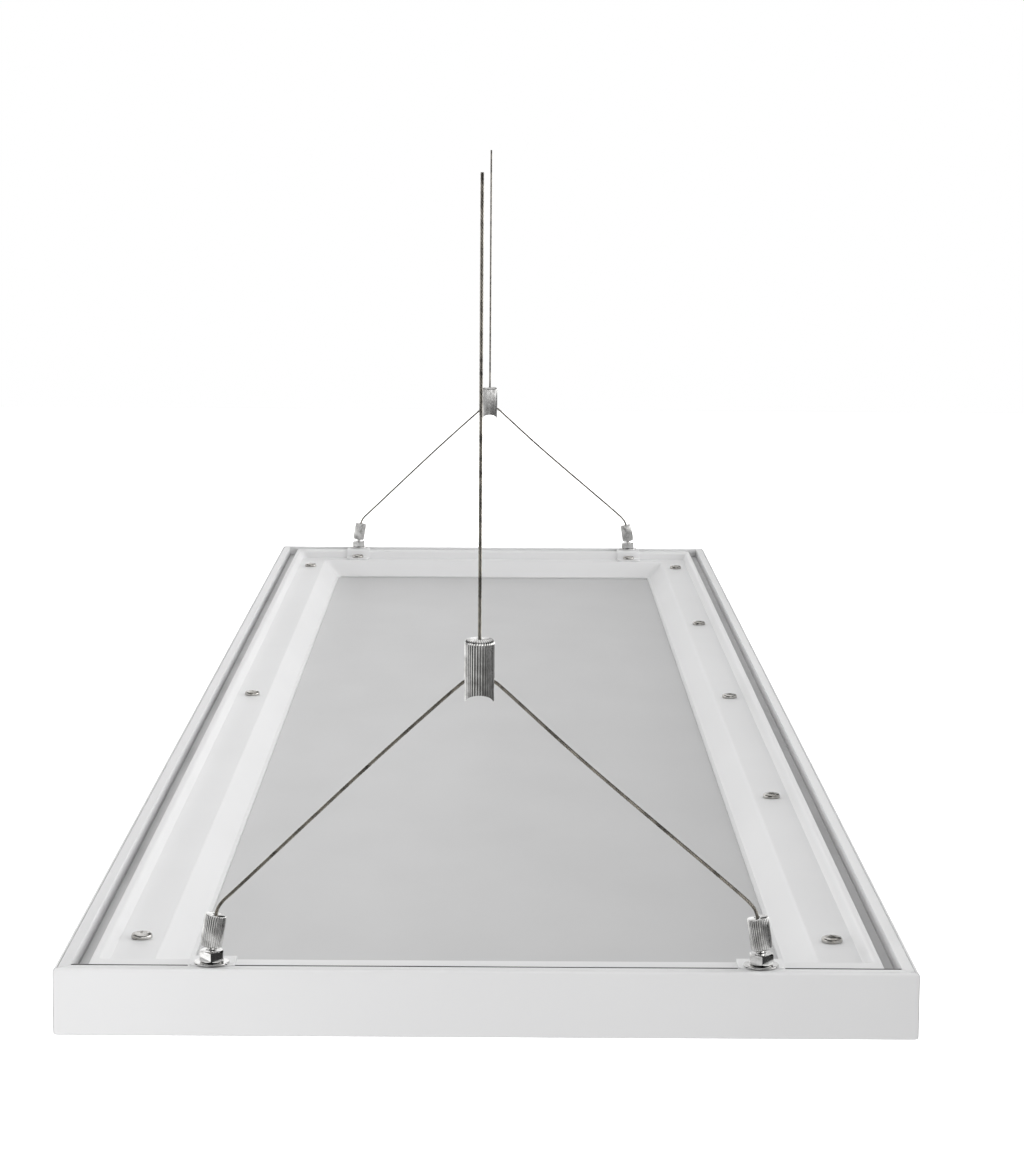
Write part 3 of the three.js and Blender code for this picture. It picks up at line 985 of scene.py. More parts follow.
def threaded(points: Sequence[Vector], step: float) -> list[Vector]:
    """A smooth curve through points, at even steps.

    Args:
        points: The points that it passes through.
        step: The distance between the points made.

    Returns:
        The curve's points.
    """
    line = [2 * points[0] - points[1], *points, 2 * points[-1] - points[-2]]
    fine = [points[0].copy()]
    for p0, p1, p2, p3 in zip(line, line[1:], line[2:], line[3:]):
        k0, k1, k2 = (max((b - a).length, 1e-9) ** 0.5 for a, b in ((p0, p1), (p1, p2), (p2, p3)))
        start = ((p1 - p0) / k0 - (p2 - p0) / (k0 + k1) + (p2 - p1) / k1) * k1
        stop = ((p2 - p1) / k1 - (p3 - p1) / (k1 + k2) + (p3 - p2) / k2) * k1
        count = max(2, math.ceil(8 * (p2 - p1).length / step))
        for i in range(1, count + 1):
            t = i / count
            cube = (2 * p1 - 2 * p2 + start + stop) * t**3
            square = (3 * p2 - 3 * p1 - 2 * start - stop) * t**2
            fine.append(cube + square + start * t + p1)
    lengths = [0.0]
    for a, b in zip(fine, fine[1:]):
        lengths.append(lengths[-1] + (b - a).length)
    count = round(lengths[-1] / step)
    made, i = [], 0
    for k in range(count + 1):
        wanted = lengths[-1] * k / count
        while i < len(fine) - 2 and lengths[i + 1] < wanted:
            i += 1
        share = (wanted - lengths[i]) / (lengths[i + 1] - lengths[i])
        made.append(fine[i].lerp(fine[i + 1], min(share, 1.0)))
    return made


@dataclass
class WireRope:
    """Six strands laid round a seventh."""

    route: Sequence[Vector]
    radius: float = 0.6 * MM
    strands: int = 6
    lay: float = 9.0 * MM
    step: float = 0.5 * MM
    strand_sides: int = 8

    @cached_property
    def line(self) -> list[Vector]:
        """The rope's centreline at even steps."""
        return threaded(self.route, self.step)

    @property
    def length(self) -> float:
        """The rope's length."""
        return sum((b - a).length for a, b in zip(self.line, self.line[1:]))

    def mesh(self, name: str) -> bpy.types.Mesh:
        """Lays the strands.

        Args:
            name: The mesh's name.

        Returns:
            The mesh of all the strands.
        """
        shell = Shell()
        thin = self.radius / 3.0
        sides = [2 * math.pi * k / self.strand_sides for k in range(self.strand_sides)]
        for strand in range(self.strands + 1):
            swing = 0.0 if strand == self.strands else 2.0 * thin
            loops, across = [], Vector((0.0, 1.0, 0.0))
            for i, point in enumerate(self.line):
                ahead = self.line[min(i + 1, len(self.line) - 1)]
                along = (ahead - self.line[max(i - 1, 0)]).normalized()
                across = (across - along * across.dot(along)).normalized()
                beside = along.cross(across)
                turn = 2 * math.pi * (strand / self.strands + i * self.step / self.lay)
                middle = point + swing * (math.cos(turn) * across + math.sin(turn) * beside)
                ring = [thin * (math.cos(a) * across + math.sin(a) * beside) for a in sides]
                loops.append(shell.loop(middle + spoke for spoke in ring))
            shell.tube(loops)
        return shell.mesh(name, crease=60.0)


@dataclass
class Yoke:
    """A connector that one leg wire runs through, and the main wire that it hangs on."""

    end: End
    in_barrel: float = 4.0 * MM
    barrel_mouth: float = 9.8 * MM
    main_wire_in_connector: float = 9.5 * MM
    ribs: int = 34
    rib_depth: float = 0.42 * MM
    shoulder: float = 2.0 * MM
    shoulder_ribs: Sequence[float] = (1, 1, 1, 0.95, 0.85, 0.6, 0.2)
    foot_edge: float = 0.5 * MM
    bore: float = 0.9 * MM
    cavity_radius: float = 4.0 * MM
    cavity_depth: float = 8.6 * MM
    slot_half_width: float = 1.1 * MM
    slot_height: float = 8.2 * MM
    arch_half_width: float = 4.6 * MM
    arch_height: float = 2.6 * MM
    crown: Flat = (1.6 * MM, 7.4 * MM)
    bend: Sequence[Flat] = ((0.8, 2.4), (2.5, 4.7), (5.6, 7.6))
    entry: Sequence[tuple[float, float, float]] = (
        (34, 0, -19.2), (6.3, 0, 5.8), (5.2, 0, 6.6), (4, 0, 7.1), (2.4, 1.1, 7.3),
    )

    def __post_init__(self) -> None:
        """Reads the connector's place from the frame."""
        self.connector_node = f"yoke_connector_{self.end.label}"
        self.low, self.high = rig.box(self.connector_node)
        self.middle = (self.low + self.high) / 2
        self.radius = (self.high.y - self.low.y) / 2
        self.body = f"{self.end.label}_yoke"

    def leg_half(self, side: Side) -> list[Vector]:
        """Half of the leg wire's route.

        Args:
            side: The side that it comes from.

        Returns:
            Its points, from inside the barrel up to the middle of the connector.
        """
        joint = JOINTS[f"{self.end.label}_{side.label}_barrel_spin"]
        ball, axis = Vector(joint["pos_m"]), Vector(joint["axis"]).normalized()
        axis = axis if axis.z > 0 else -axis
        mouth = ball + axis * self.barrel_mouth
        sign, foot = side.value, Vector((self.middle.x, ball.y, self.low.z))
        return [
            ball + axis * self.in_barrel,
            ball + axis * (self.in_barrel + self.barrel_mouth) / 2,
            mouth,
            *(mouth + Vector((-sign * across, 0, up)) * MM for across, up in self.bend),
            *(foot + Vector((sign * x, y, z)) * MM for x, y, z in self.entry),
        ]

    def leg_wire(self) -> bpy.types.Object:
        """Lays the wire from barrel to barrel through the connector.

        Returns:
            The leg wire.
        """
        crown = Vector((self.middle.x, self.middle.y + self.crown[0], self.low.z + self.crown[1]))
        route = [*self.leg_half(Side.LEFT), crown, *reversed(self.leg_half(Side.RIGHT))]
        rope = WireRope(route)
        name = f"leg_wire_{self.end.label}"
        wire = piece(f"{name}_rope", rope.mesh(name), ROPE_STEEL, self.body, [name])
        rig.cord(
            wire, exit=route[2], length=rope.length, diameter=2 * rope.radius,
            far_end="object", stiffness="medium", lay="taut", path=rope.line,
        )
        return wire

    def main_wire(self) -> bpy.types.Object:
        """Lays the wire that goes up from the connector.

        Returns:
            The main wire.
        """
        name = f"main_wire_{self.end.label}"
        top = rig.box(name)[1].z
        bottom = self.low.z + self.main_wire_in_connector
        levels = [bottom + share * (top - bottom) for share in (0, 0.25, 0.5, 0.75, 1)]
        rope = WireRope([Vector((self.middle.x, self.middle.y, z)) for z in levels])
        body = f"{self.end.label}_main_wire"
        wire = piece(f"{name}_rope", rope.mesh(name), ROPE_STEEL, body, [name])
        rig.cord(
            wire, exit=(self.middle.x, self.middle.y, self.high.z), length=rope.length,
            diameter=2 * rope.radius, far_end="bare", stiffness="medium", lay="taut",
            path=rope.line,
        )
        return wire

    def connector(self) -> bpy.types.Object:
        """Turns, knurls and slots the connector.

        Returns:
            The connector.
        """
        top = self.high.z - self.low.z
        r, foot, bore, cavity = self.radius, self.foot_edge, self.bore, self.cavity_radius
        bend = arc((r - self.shoulder, top - self.shoulder), self.shoulder, 0, 90, 6)
        shoulder = [(x, z, share) for (x, z), share in zip(bend, self.shoulder_ribs)]
        profile = [
            (cavity, 0.0),
            (r - foot, 0.0, 0.3),
            (r - 0.3 * foot, 0.3 * foot, 0.8),
            (r, foot, 1.0),
            *shoulder,
            (bore + 0.3 * MM, top),
            (bore, top - 0.3 * MM),
            (bore, self.cavity_depth),
            (cavity, self.cavity_depth),
        ]
        blank = turned(profile, 8 * self.ribs, Knurl(self.ribs, self.rib_depth), ring=True)
        blank = blank.mesh(self.connector_node, 40.0)
        circle = arc((0, 0), 1, 0, 360, 48)[:-1]
        arch = [(x * self.arch_half_width, z * self.arch_height) for x, z in circle]
        w, reach = self.slot_half_width, 2 * r
        slots = []
        for side in Side:
            inner, outer = sorted((side.value * 0.9 * cavity, side.value * reach))
            outline = [(-w, -MM), (w, -MM), (w, self.slot_height - w)]
            outline += arc((0, self.slot_height - w), w, 0, 180, 8)[1:]
            slots.append(prism(outline, inner, outer, "X"))
        mesh = carved(blank, [prism(arch, -reach, reach, "Y"), *slots], 40.0)
        place = Matrix.Translation((self.middle.x, self.middle.y, self.low.z))
        node = self.connector_node
        return piece(f"{node}_knurled", mesh, NICKEL, self.body, [node], place)

    def build(self) -> list[bpy.types.Object]:
        """Builds the yoke, wires first."""
        return [self.leg_wire(), self.main_wire(), self.connector()]


# ---- Frame ----


@dataclass
class Frame:
    """Four mitred lengths of one hollow aluminium section."""

    rail_width: float = 5.4 * MM
    wall: float = 1.2 * MM
    edge: float = 1.2 * MM
    lip_reach: float = 16.0 * MM
    lip: float = 1.2 * MM
    lip_edge: float = 0.3 * MM
    groove: Flat = (1.25 * MM, 1.7 * MM)
    groove_depth: float = 0.5 * MM
    mitre_gap: float = 0.2 * MM
    mitre_edge: float = 0.25 * MM
    inlet_hole: float = 4.3 * MM

    def __post_init__(self) -> None:
        """Reads the frame's outer faces."""
        _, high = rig.box("side_rail_right")
        self.half_width = high.x
        self.half_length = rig.box("end_rail_rear")[1].y
        self.height = high.z

    def section(self, inward: float) -> list[Flat]:
        """The section's outline as inset and height.

        Args:
            inward: How far its outer faces have gone in, at the round of a mitre.

        Returns:
            The closed outline.
        """
        r, top, e = self.edge, self.height, self.lip_edge
        low, high = inward, top - inward
        first, last = self.groove
        return [
            *arc((r, r), r - inward, 180, 270, 8),
            *arc((self.lip_reach - e, e), e - 0.5 * inward, 270, 360, 3),
            *arc((self.lip_reach - e, self.lip - e), e - 0.5 * inward, 0, 90, 3),
            (self.rail_width, self.lip),
            *arc((self.rail_width - e, high - e), e, 0, 90, 3),
            (last, high),
            (last, top - self.groove_depth),
            (first, top - self.groove_depth),
            (first, high),
            *arc((r, top - r), r - inward, 90, 180, 8),
            (low, top / 2),
        ]

    def chamber(self) -> list[Flat]:
        """The hollow's outline as inset and height."""
        near, far, top = self.wall, self.rail_width - self.wall, self.height - self.wall
        return [(near, near), (far, near), (far, top), (near, top)]

    def rail(self, name: str, place: Place) -> bpy.types.Mesh:
        """Sweeps the section from mitre to mitre.

        Args:
            name: The mesh's name.
            place: Gives the point at an inset, a height, an end of the rail and a distance
                back from its mitre.

        Returns:
            The rail's mesh.
        """
        shell = Shell()
        angles = [math.radians(a) for a in (90, 60, 30, 0)]
        stations = [(-1, a) for a in angles] + [(1, a) for a in reversed(angles)]
        outer = []
        for end, a in stations:
            back = self.mitre_edge * (1 - math.sin(a))
            inward = self.mitre_edge * (1 - math.cos(a))
            outer.append(shell.loop(place(u, z, end, back) for u, z in self.section(inward)))
        inner = [shell.loop(place(u, z, end, 0.0) for u, z in self.chamber()) for end in (-1, 1)]
        shell.bands(outer)
        shell.bands(inner)
        shell.lid(outer[0], inner[0])
        shell.lid(outer[-1], inner[-1])
        return shell.mesh(name)

    def side_rail(self, side: Side) -> bpy.types.Object:
        """Makes the long rail of one side.

        Args:
            side: Its side.

        Returns:
            The rail.
        """
        node = f"side_rail_{side.label}"

        def place(inset: float, height: float, end: int, back: float) -> Flat:
            """The point in place."""
            y = end * (self.half_length - inset - self.mitre_gap - back)
            return side.value * (self.half_width - inset), y, height

        return piece(f"{node}_extrusion", self.rail(node, place), POWDER_COAT, FIXTURE, [node])

    def end_rail(self, end: End) -> bpy.types.Object:
        """Makes the short rail of one end, with the inlet's hole in the rear one.

        Args:
            end: Its end.

        Returns:
            The rail.
        """
        node = f"end_rail_{end.label}"

        def place(inset: float, height: float, way: int, back: float) -> Flat:
            """The point in place."""
            x = way * (self.half_width - inset - self.mitre_gap - back)
            return x, end.value * (self.half_length - inset), height

        mesh = self.rail(node, place)
        if end is End.REAR:
            low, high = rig.box("power_inlet")
            centre = ((low.x + high.x) / 2, (low.z + high.z) / 2)
            hole = arc(centre, self.inlet_hole, 0, 360, 48)[:-1]
            reach = 4 * self.rail_width
            drill = prism(hole, self.half_length - reach, self.half_length + reach, "Y")
            mesh = carved(mesh, [drill])
        return piece(f"{node}_extrusion", mesh, POWDER_COAT, FIXTURE, [node])

    def build(self) -> list[bpy.types.Object]:
        """Builds the four rails and dresses the keys in their corners.

        Returns:
            The frame's pieces.
        """
        keys = [f"corner_key_{end.label}_{side.label}" for end in End for side in Side]
        return [
            *(self.side_rail(side) for side in Side),
            *(self.end_rail(end) for end in End),
            *(MILL_FINISH.dress(frame["nodes"][key]) for key in keys),
        ]


# ---- Rear cover ----


@dataclass
class RearCover:
    """One pressed ring of sheet: rim, step, shelf, slope and foot."""

    sheet: float = 1.0 * MM
    corner: float = 3.0 * MM
    corner_steps: int = 8
    step_drop: float = 4.7 * MM
    step_run: float = 1.8 * MM
    side_widths: tuple[float, float] = (3.05 * MM, 15.7 * MM)
    end_widths: tuple[float, float] = (11.7 * MM, 11.2 * MM)
    slope_run: float = 8.5 * MM
    foot: float = 1.6 * MM
    outer_bend: float = 1.5 * MM
    inner_bend: float = 0.5 * MM
    hem_gap: float = 0.4 * MM

    def __post_init__(self) -> None:
        """Reads the cover's box."""
        self.low, self.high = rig.box("rear_cover")
        self.rim_level = self.high.z
        self.shelf_level = self.rim_level - self.step_drop
        self.foot_level = self.low.z + self.sheet
        self.hem_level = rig.box("led_bar_left")[1].z + self.hem_gap

    def line(self, rim: float, shelf: float) -> list[Flat]:
        """The upper surface as distance in from the cover's edge and height.

        Args:
            rim: The rim's width.
            shelf: The shelf's width.

        Returns:
            The open line with its bends rounded.
        """
        stops = [0.0, 0.0, rim]
        for run in (self.step_run, shelf, self.slope_run, self.foot):
            stops.append(stops[-1] + run)
        levels = [self.hem_level]
        for level in (self.rim_level, self.shelf_level, self.foot_level):
            levels += [level, level]
        outer, inner = self.outer_bend, self.inner_bend
        return filleted(list(zip(stops, levels)), (outer, outer, inner, outer, inner))

    def loop(self, side_inset: float, end_inset: float, height: float) -> list[Sequence[float]]:
        """One level loop round the light.

        Args:
            side_inset: How far in from the cover's long edges.
            end_inset: How far in from its short edges.
            height: Its height.

        Returns:
            A rectangle with rounded corners.
        """
        r = self.corner
        x, y = self.high.x - side_inset - r, self.high.y - end_inset - r
        corners = [(1, 1, 0), (-1, 1, 90), (-1, -1, 180), (1, -1, 270)]
        return [
            (*point, height)
            for sx, sy, start in corners
            for point in arc((sx * x, sy * y), r, start, start + 90, self.corner_steps)
        ]

    def build(self) -> list[bpy.types.Object]:
        """Presses the ring.

        Returns:
            The cover, alone in a list.
        """
        side, end = self.line(*self.side_widths), self.line(*self.end_widths)
        sides = [*side, *reversed(offset(side, -self.sheet))]
        ends = [*end, *reversed(offset(end, -self.sheet))]
        shell = Shell()
        loops = [shell.loop(self.loop(u, v, z)) for (u, z), (v, _) in zip(sides, ends)]
        shell.bands(loops, ring=True)
        mesh = shell.mesh("rear_cover")
        return [piece("rear_cover_pressing", mesh, POWDER_COAT, FIXTURE, ["rear_cover"])]


@dataclass
class FrontSeal:
    """A black strip that fills the gap between the front rail and the cover, lower where the brackets pass; its black
    makes the gap show as a dark line.
    """

    margin: float = 0.4 * MM
    under_bracket: float = 0.3 * MM
    edge: float = 0.25 * MM
    bead_pitch: float = 4.0 * MM
    sag: float = 0.06 * MM
    waves: Flat = (71.0, 23.0)
    notch_side: float = 0.01 * MM

    def top(self, x: float, level: float, notch: float, spans: Sequence[Flat]) -> float:
        """The strip's height at one place along it.

        Args:
            x: The place.
            level: Its height where it is free.
            notch: Its height under a bracket.
            spans: Each bracket's lowest and highest X.

        Returns:
            The height.
        """
        if any(low - self.margin <= x <= high + self.margin for low, high in spans):
            return notch
        first, second = self.waves
        return level - self.sag * (0.5 + 0.5 * math.sin(x * first) * math.cos(x * second))

    def build(self) -> list[bpy.types.Object]:
        """Sweeps a round-edged section along the strip.

        Returns:
            The seal, alone in a list.
        """
        low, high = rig.box("front_seal")
        spans, stations = [], []
        for side in Side:
            first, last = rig.box(f"hanger_bracket_front_{side.label}")
            spans.append((first.x, last.x))
            for x in (first.x - self.margin, last.x + self.margin):
                stations += [x - self.notch_side, x + self.notch_side]
        count = round((high.x - low.x) / self.bead_pitch)
        stations += [low.x + (high.x - low.x) * i / count for i in range(count + 1)]
        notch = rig.box("rear_cover")[1].z - self.under_bracket
        shell, loops = Shell(), []
        for x in sorted(stations):
            top = self.top(x, high.z, notch, spans)
            outline = rounded_profile((low.y, low.z), (high.y, top), self.edge, 3)
            loops.append(shell.loop((x, y, z) for y, z in outline))
        # The strip's near-black finish makes the front gap show as a dark line.
        mesh = shell.tube(loops).mesh("front_seal")
        return [piece("front_seal_strip", mesh, GAP_BLACK, FIXTURE, ["front_seal"])]


# ---- Screws and hangers ----


@dataclass
class PanScrew:
    """A cross-recessed pan-head screw whose head sits on z = 0."""

    length: float
    head: float = 3.8 * MM
    height: float = 2.2 * MM
    wall: float = 0.75 * MM
    crown: float = 0.25 * MM
    shank: float = 1.2 * MM
    thread_pitch: float = 0.9 * MM
    root_share: float = 0.78
    recess_reach: float = 2.0 * MM
    recess_half_width: float = 0.42 * MM
    recess_depth: float = 1.2 * MM
    recess_shares: Flat = (1.25, 0.55)
    seat_edge: float = 0.15 * MM

    @classmethod
    def between(cls, low: Vector, high: Vector) -> "PanScrew":
        """A screw as long as the box between two corners."""
        return cls(length=high.z - low.z - cls.height)

    def recess(self) -> list[bpy.types.Mesh]:
        """Makes the two tapered blades that cut the cross.

        Returns:
            The blades.
        """
        blades = []
        for turn in (0.0, math.pi / 2):
            shell = Shell()
            spin = Matrix.Rotation(turn, 3, "Z")
            levels = (self.height + MM, self.height - self.recess_depth)
            loops = []
            for level, share in zip(levels, self.recess_shares):
                reach, width = self.recess_reach * share, self.recess_half_width * share
                corners = [(-reach, -width), (reach, -width), (reach, width), (-reach, width)]
                loops.append(shell.loop(spin @ Vector((x, y, level)) for x, y in corners))
            blades.append(shell.tube(loops).mesh("blade"))
        return blades

    def mesh(self) -> bpy.types.Mesh:
        """Turns the screw and cuts its cross.

        Returns:
            The screw, with the underside of its head at the origin.
        """
        bend = self.height - self.wall - self.crown
        rise = arc((self.head - bend, self.wall), bend, 0, 90, 8)
        shares = (0.75, 0.5, 0.25, 0.02)
        flat = self.head - bend
        crown = [(share * flat, self.height - self.crown * share**2) for share in shares]
        root = self.root_share * self.shank
        turns = int((self.length - 2 * self.shank) / self.thread_pitch)
        thread = []
        for i in range(turns):
            level = -self.length + 1.6 * self.shank + i * self.thread_pitch
            thread += [(root, level), (self.shank, level + 0.45 * self.thread_pitch)]
        profile = [
            (TIP, -self.length),
            (0.5 * self.shank, -self.length + 0.5 * self.shank),
            *thread,
            (root, -0.3 * MM),
            (self.shank, 0.0),
            (self.head - self.seat_edge, 0.0),
            (self.head, self.seat_edge),
            *rise,
            *crown,
        ]
        blank = turned(profile, 48).mesh("pan_screw", 40.0)
        return carved(blank, self.recess(), 40.0)


@dataclass
class CoverScrews:
    """The screws that hold the cover down on the LED bars' shelves."""

    counts: Mapping[Side, int]
    first_turn: float = 0.7
    turn: float = 1.9

    def build(self) -> list[bpy.types.Object]:
        """Places the screws, each turned a little further than the last.

        Returns:
            The screws.
        """
        screw = PanScrew.between(*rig.box("cover_screw_left_1"))
        mesh = screw.mesh()
        made = []
        for side, count in self.counts.items():
            for i in range(1, count + 1):
                node = f"cover_screw_{side.label}_{i}"
                low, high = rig.box(node)
                middle = (low + high) / 2
                place = Matrix.Translation((middle.x, middle.y, high.z - screw.height))
                place @= Matrix.Rotation(self.first_turn + self.turn * i + side.value, 4, "Z")
                made.append(piece(f"{node}_pan_head", mesh, ZINC, FIXTURE, [node], place))
        return made


@dataclass
class Hangers:
    """At each corner a bracket, its screw, a washer, a nut, a ball stud and a swivel barrel."""

    bracket_width: float = 15.5 * MM
    bracket_sheet: float = 1.0 * MM
    bracket_corner: float = 3.2 * MM
    bracket_edge: float = 0.22 * MM
    seat: float = 0.1 * MM
    stud_radius: float = 1.6 * MM
    neck_radius: float = 1.0 * MM
    hole_clearance: float = 0.3 * MM
    ball_clearance: float = 0.15 * MM
    barrel_radius: float = 3.8 * MM
    barrel_length: float = 11.3 * MM
    barrel_below_ball: float = 1.5 * MM
    barrel_bore: float = 0.9 * MM
    barrel_ribs: int = 30
    barrel_rib_depth: float = 0.34 * MM
    washer_edge: float = 0.18 * MM
    nut_face: float = 0.93
    nut_chamfer: float = 30.0
    thread_edge: float = 0.4 * MM
    stud_pitch: float = 0.5 * MM
    stud_root: float = 0.87
    screw_turns: tuple[float, float] = (0.5, 0.6)

    def __post_init__(self) -> None:
        """Reads one hanger's levels from the frame."""
        self.washer_low, self.washer_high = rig.box("washer_front_left")
        self.nut_low, self.nut_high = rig.box("hex_nut_front_left")
        self.stud_low, self.stud_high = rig.box("ball_stud_front_left")
        self.bracket_low, self.bracket_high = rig.box("hanger_bracket_front_left")
        self.ball_radius = (self.stud_high.x - self.stud_low.x) / 2
        self.axis_y = (self.nut_low.y + self.nut_high.y) / 2

    def washer(self) -> bpy.types.Mesh:
        """Turns a flat ring with rounded edges.

        Returns:
            The washer, about the stud's axis.
        """
        radius = (self.washer_high.x - self.washer_low.x) / 2
        hole = self.stud_radius + self.hole_clearance
        low, high = self.washer_low.z, self.washer_high.z
        outline = rounded_profile((hole, low), (radius, high), self.washer_edge)
        return turned(outline, 72, ring=True).mesh("washer")

    def nut(self) -> bpy.types.Mesh:
        """Makes a hexagon nut with its corners turned down.

        Returns:
            The nut, about the stud's axis.
        """
        apothem = (self.nut_high.x - self.nut_low.x) / 2
        hole = self.stud_radius + 0.05 * MM
        face = self.nut_face * apothem
        low, high, e = self.nut_low.z, self.nut_high.z, self.thread_edge
        shell = Shell()
        steps = 96
        rings: list[list[Sequence[float]]] = [[] for _ in range(8)]
        for i in range(steps):
            angle = 2 * math.pi * i / steps
            lean = (angle + math.pi / 6) % (math.pi / 3) - math.pi / 6
            reach = apothem / math.cos(lean)
            drop = (reach - face) * math.tan(math.radians(self.nut_chamfer))
            levels = [
                (hole, low + e), (hole + e, low), (face, low), (reach, low + drop),
                (reach, high - drop), (face, high), (hole + e, high), (hole, high - e),
            ]
            for ring, (r, z) in zip(rings, levels):
                ring.append((r * math.cos(angle), r * math.sin(angle), z))
        shell.bands([shell.loop(ring) for ring in rings], ring=True)
        return shell.mesh("hex_nut", 25.0)

    def stud(self) -> bpy.types.Mesh:
        """Turns a threaded stud with a neck and a ball.

        Returns:
            The stud, about its own axis.
        """
        base, top = self.stud_low.z, self.stud_high.z
        ball, neck, pitch = self.ball_radius, self.neck_radius, self.stud_pitch
        centre = top - ball
        start = -math.degrees(math.acos(neck / ball))
        thread_top = self.nut_high.z - self.seat
        thread = []
        for i in range(int((thread_top - base) / pitch) - 1):
            level = base + 0.3 * MM + i * pitch
            root = self.stud_root * self.stud_radius
            thread += [(self.stud_radius, level), (root, level + 0.5 * pitch)]
        profile = [
            (TIP, base),
            (0.8 * self.stud_radius, base),
            *thread,
            (self.stud_radius, thread_top),
            (neck, thread_top + 2 * self.seat),
            *arc((0.0, centre), ball, start, 89.5, 16),
        ]
        return turned(profile, 48).mesh("ball_stud")

    def barrel(self) -> bpy.types.Mesh:
        """Turns and knurls a barrel, with its ball socket at the origin.

        Returns:
            The barrel, about its own axis.
        """
        r, bottom = self.barrel_radius, -self.barrel_below_ball
        top = self.barrel_length + bottom
        socket = self.ball_radius + self.ball_clearance
        mouth = math.degrees(math.asin(bottom / socket))
        crown = math.degrees(math.acos(self.barrel_bore / socket))
        profile = [
            (r - 0.5 * MM, bottom, 0.35),
            (r - 0.2 * MM, bottom + 0.2 * MM, 0.8),
            (r, bottom + 0.6 * MM, 1.0),
            (r, top - 0.5 * MM, 1.0),
            (r - 0.05 * MM, top - 0.3 * MM, 0.6),
            (r - 0.2 * MM, top - 0.12 * MM, 0.2),
            (r - 0.45 * MM, top),
            (self.barrel_bore + 0.3 * MM, top),
            (self.barrel_bore, top - 0.3 * MM),
            *arc((0.0, 0.0), socket, crown, mouth, 12),
        ]
        knurl = Knurl(self.barrel_ribs, self.barrel_rib_depth)
        shell = turned(profile, 8 * self.barrel_ribs, knurl, ring=True)
        return shell.mesh("swivel_barrel", 40.0)

    def bracket(self, cover: RearCover) -> bpy.types.Mesh:
        """A bent strip about the stud's axis, reaching in along Y and down the cover's step.

        Args:
            cover: The cover that it follows.

        Returns:
            The bracket's mesh.
        """
        start = self.bracket_low.y - self.axis_y
        stop = self.bracket_high.y - self.axis_y
        step = cover.low.y + cover.end_widths[0] - self.axis_y
        gap = self.seat + self.bracket_sheet / 2
        corners = [
            (start, cover.rim_level),
            (step, cover.rim_level),
            (step + cover.step_run, cover.shelf_level),
            (stop, cover.shelf_level),
        ]
        line = filleted(offset(corners, gap), (1.0 * MM, 1.0 * MM), 8)
        thick, edge, corner = self.bracket_sheet / 2, self.bracket_edge, self.bracket_corner
        ends = []
        for i in range(9):
            angle = math.radians(90 * i / 8)
            ends.append((corner * (1 - math.cos(angle)), corner * (1 - math.sin(angle))))
        stations = [(0.0, corner + edge, thick - edge)]
        stations += [(back + 0.2 * edge, side, thick) for back, side in ends]
        spine = [Vector(point) for point in line]
        lengths = [0.0]
        for a, b in zip(spine, spine[1:]):
            lengths.append(lengths[-1] + (b - a).length)
        total = lengths[-1]
        inner = [(length, 0.0, thick) for length in lengths[1:-1]]
        mirrored = [(total - back, side, h) for back, side, h in reversed(stations)]
        shell = Shell()
        loops = []
        for length, side, half in [*stations, *inner, *mirrored]:
            i = max(k for k in range(len(spine) - 1) if lengths[k] <= length + 1e-12)
            run = (spine[i + 1] - spine[i]).normalized()
            if 0 < i and abs(length - lengths[i]) < 1e-12:
                run = (run + (spine[i] - spine[i - 1]).normalized()).normalized()
            point = spine[i] + (spine[i + 1] - spine[i]).normalized() * (length - lengths[i])
            normal = Vector((-run.y, run.x))
            width = self.bracket_width / 2 - side
            outline = rounded_profile((-width, -half), (width, half), min(edge, 0.9 * half), 3)
            points = [(x, point + normal * h) for x, h in outline]
            loops.append(shell.loop((x, at.x, at.y) for x, at in points))
        return shell.tube(loops).mesh("hanger_bracket")

    def build(self, cover: RearCover) -> list[bpy.types.Object]:
        """Builds the four hangers.

        Args:
            cover: The cover that their brackets follow.

        Returns:
            The pieces.
        """
        screw = PanScrew.between(*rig.box("bracket_screw_front_left"))
        meshes = [
            ("hanger_bracket", self.bracket(cover), POWDER_COAT),
            ("washer", self.washer(), NICKEL),
            ("hex_nut", self.nut(), NICKEL),
            ("ball_stud", self.stud(), NICKEL),
        ]
        screw_mesh, barrel_mesh = screw.mesh(), self.barrel()
        made = []
        for end in End:
            for side in Side:
                place_name = f"{end.label}_{side.label}"
                spin = JOINTS[f"{place_name}_barrel_spin"]
                ball, axis = Vector(spin["pos_m"]), Vector(spin["axis"])
                axis = axis if axis.z > 0 else -axis
                stud_axis = Matrix.Translation((ball.x, ball.y, 0.0))
                stud_axis @= Matrix.Rotation(math.pi if end is End.REAR else 0.0, 4, "Z")
                for kind, mesh, finish in meshes:
                    node = f"{kind}_{place_name}"
                    made.append(piece(f"{node}_fine", mesh, finish, FIXTURE, [node], stud_axis))
                node = f"bracket_screw_{place_name}"
                low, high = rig.box(node)
                middle = (low + high) / 2
                seat = Matrix.Translation((middle.x, middle.y, high.z - screw.height))
                turn = self.screw_turns[0] + side.value + self.screw_turns[1] * end.value
                seat @= Matrix.Rotation(turn, 4, "Z")
                made.append(piece(f"{node}_fine", screw_mesh, ZINC, FIXTURE, [node], seat))
                node = f"swivel_barrel_{place_name}"
                lean = Matrix.Translation(ball) @ axis.to_track_quat("Z", "Y").to_matrix().to_4x4()
                body = f"{place_name}_barrel"
                made.append(piece(f"{node}_knurled", barrel_mesh, NICKEL, body, [node], lean))
        return made


# ---- Inside ----


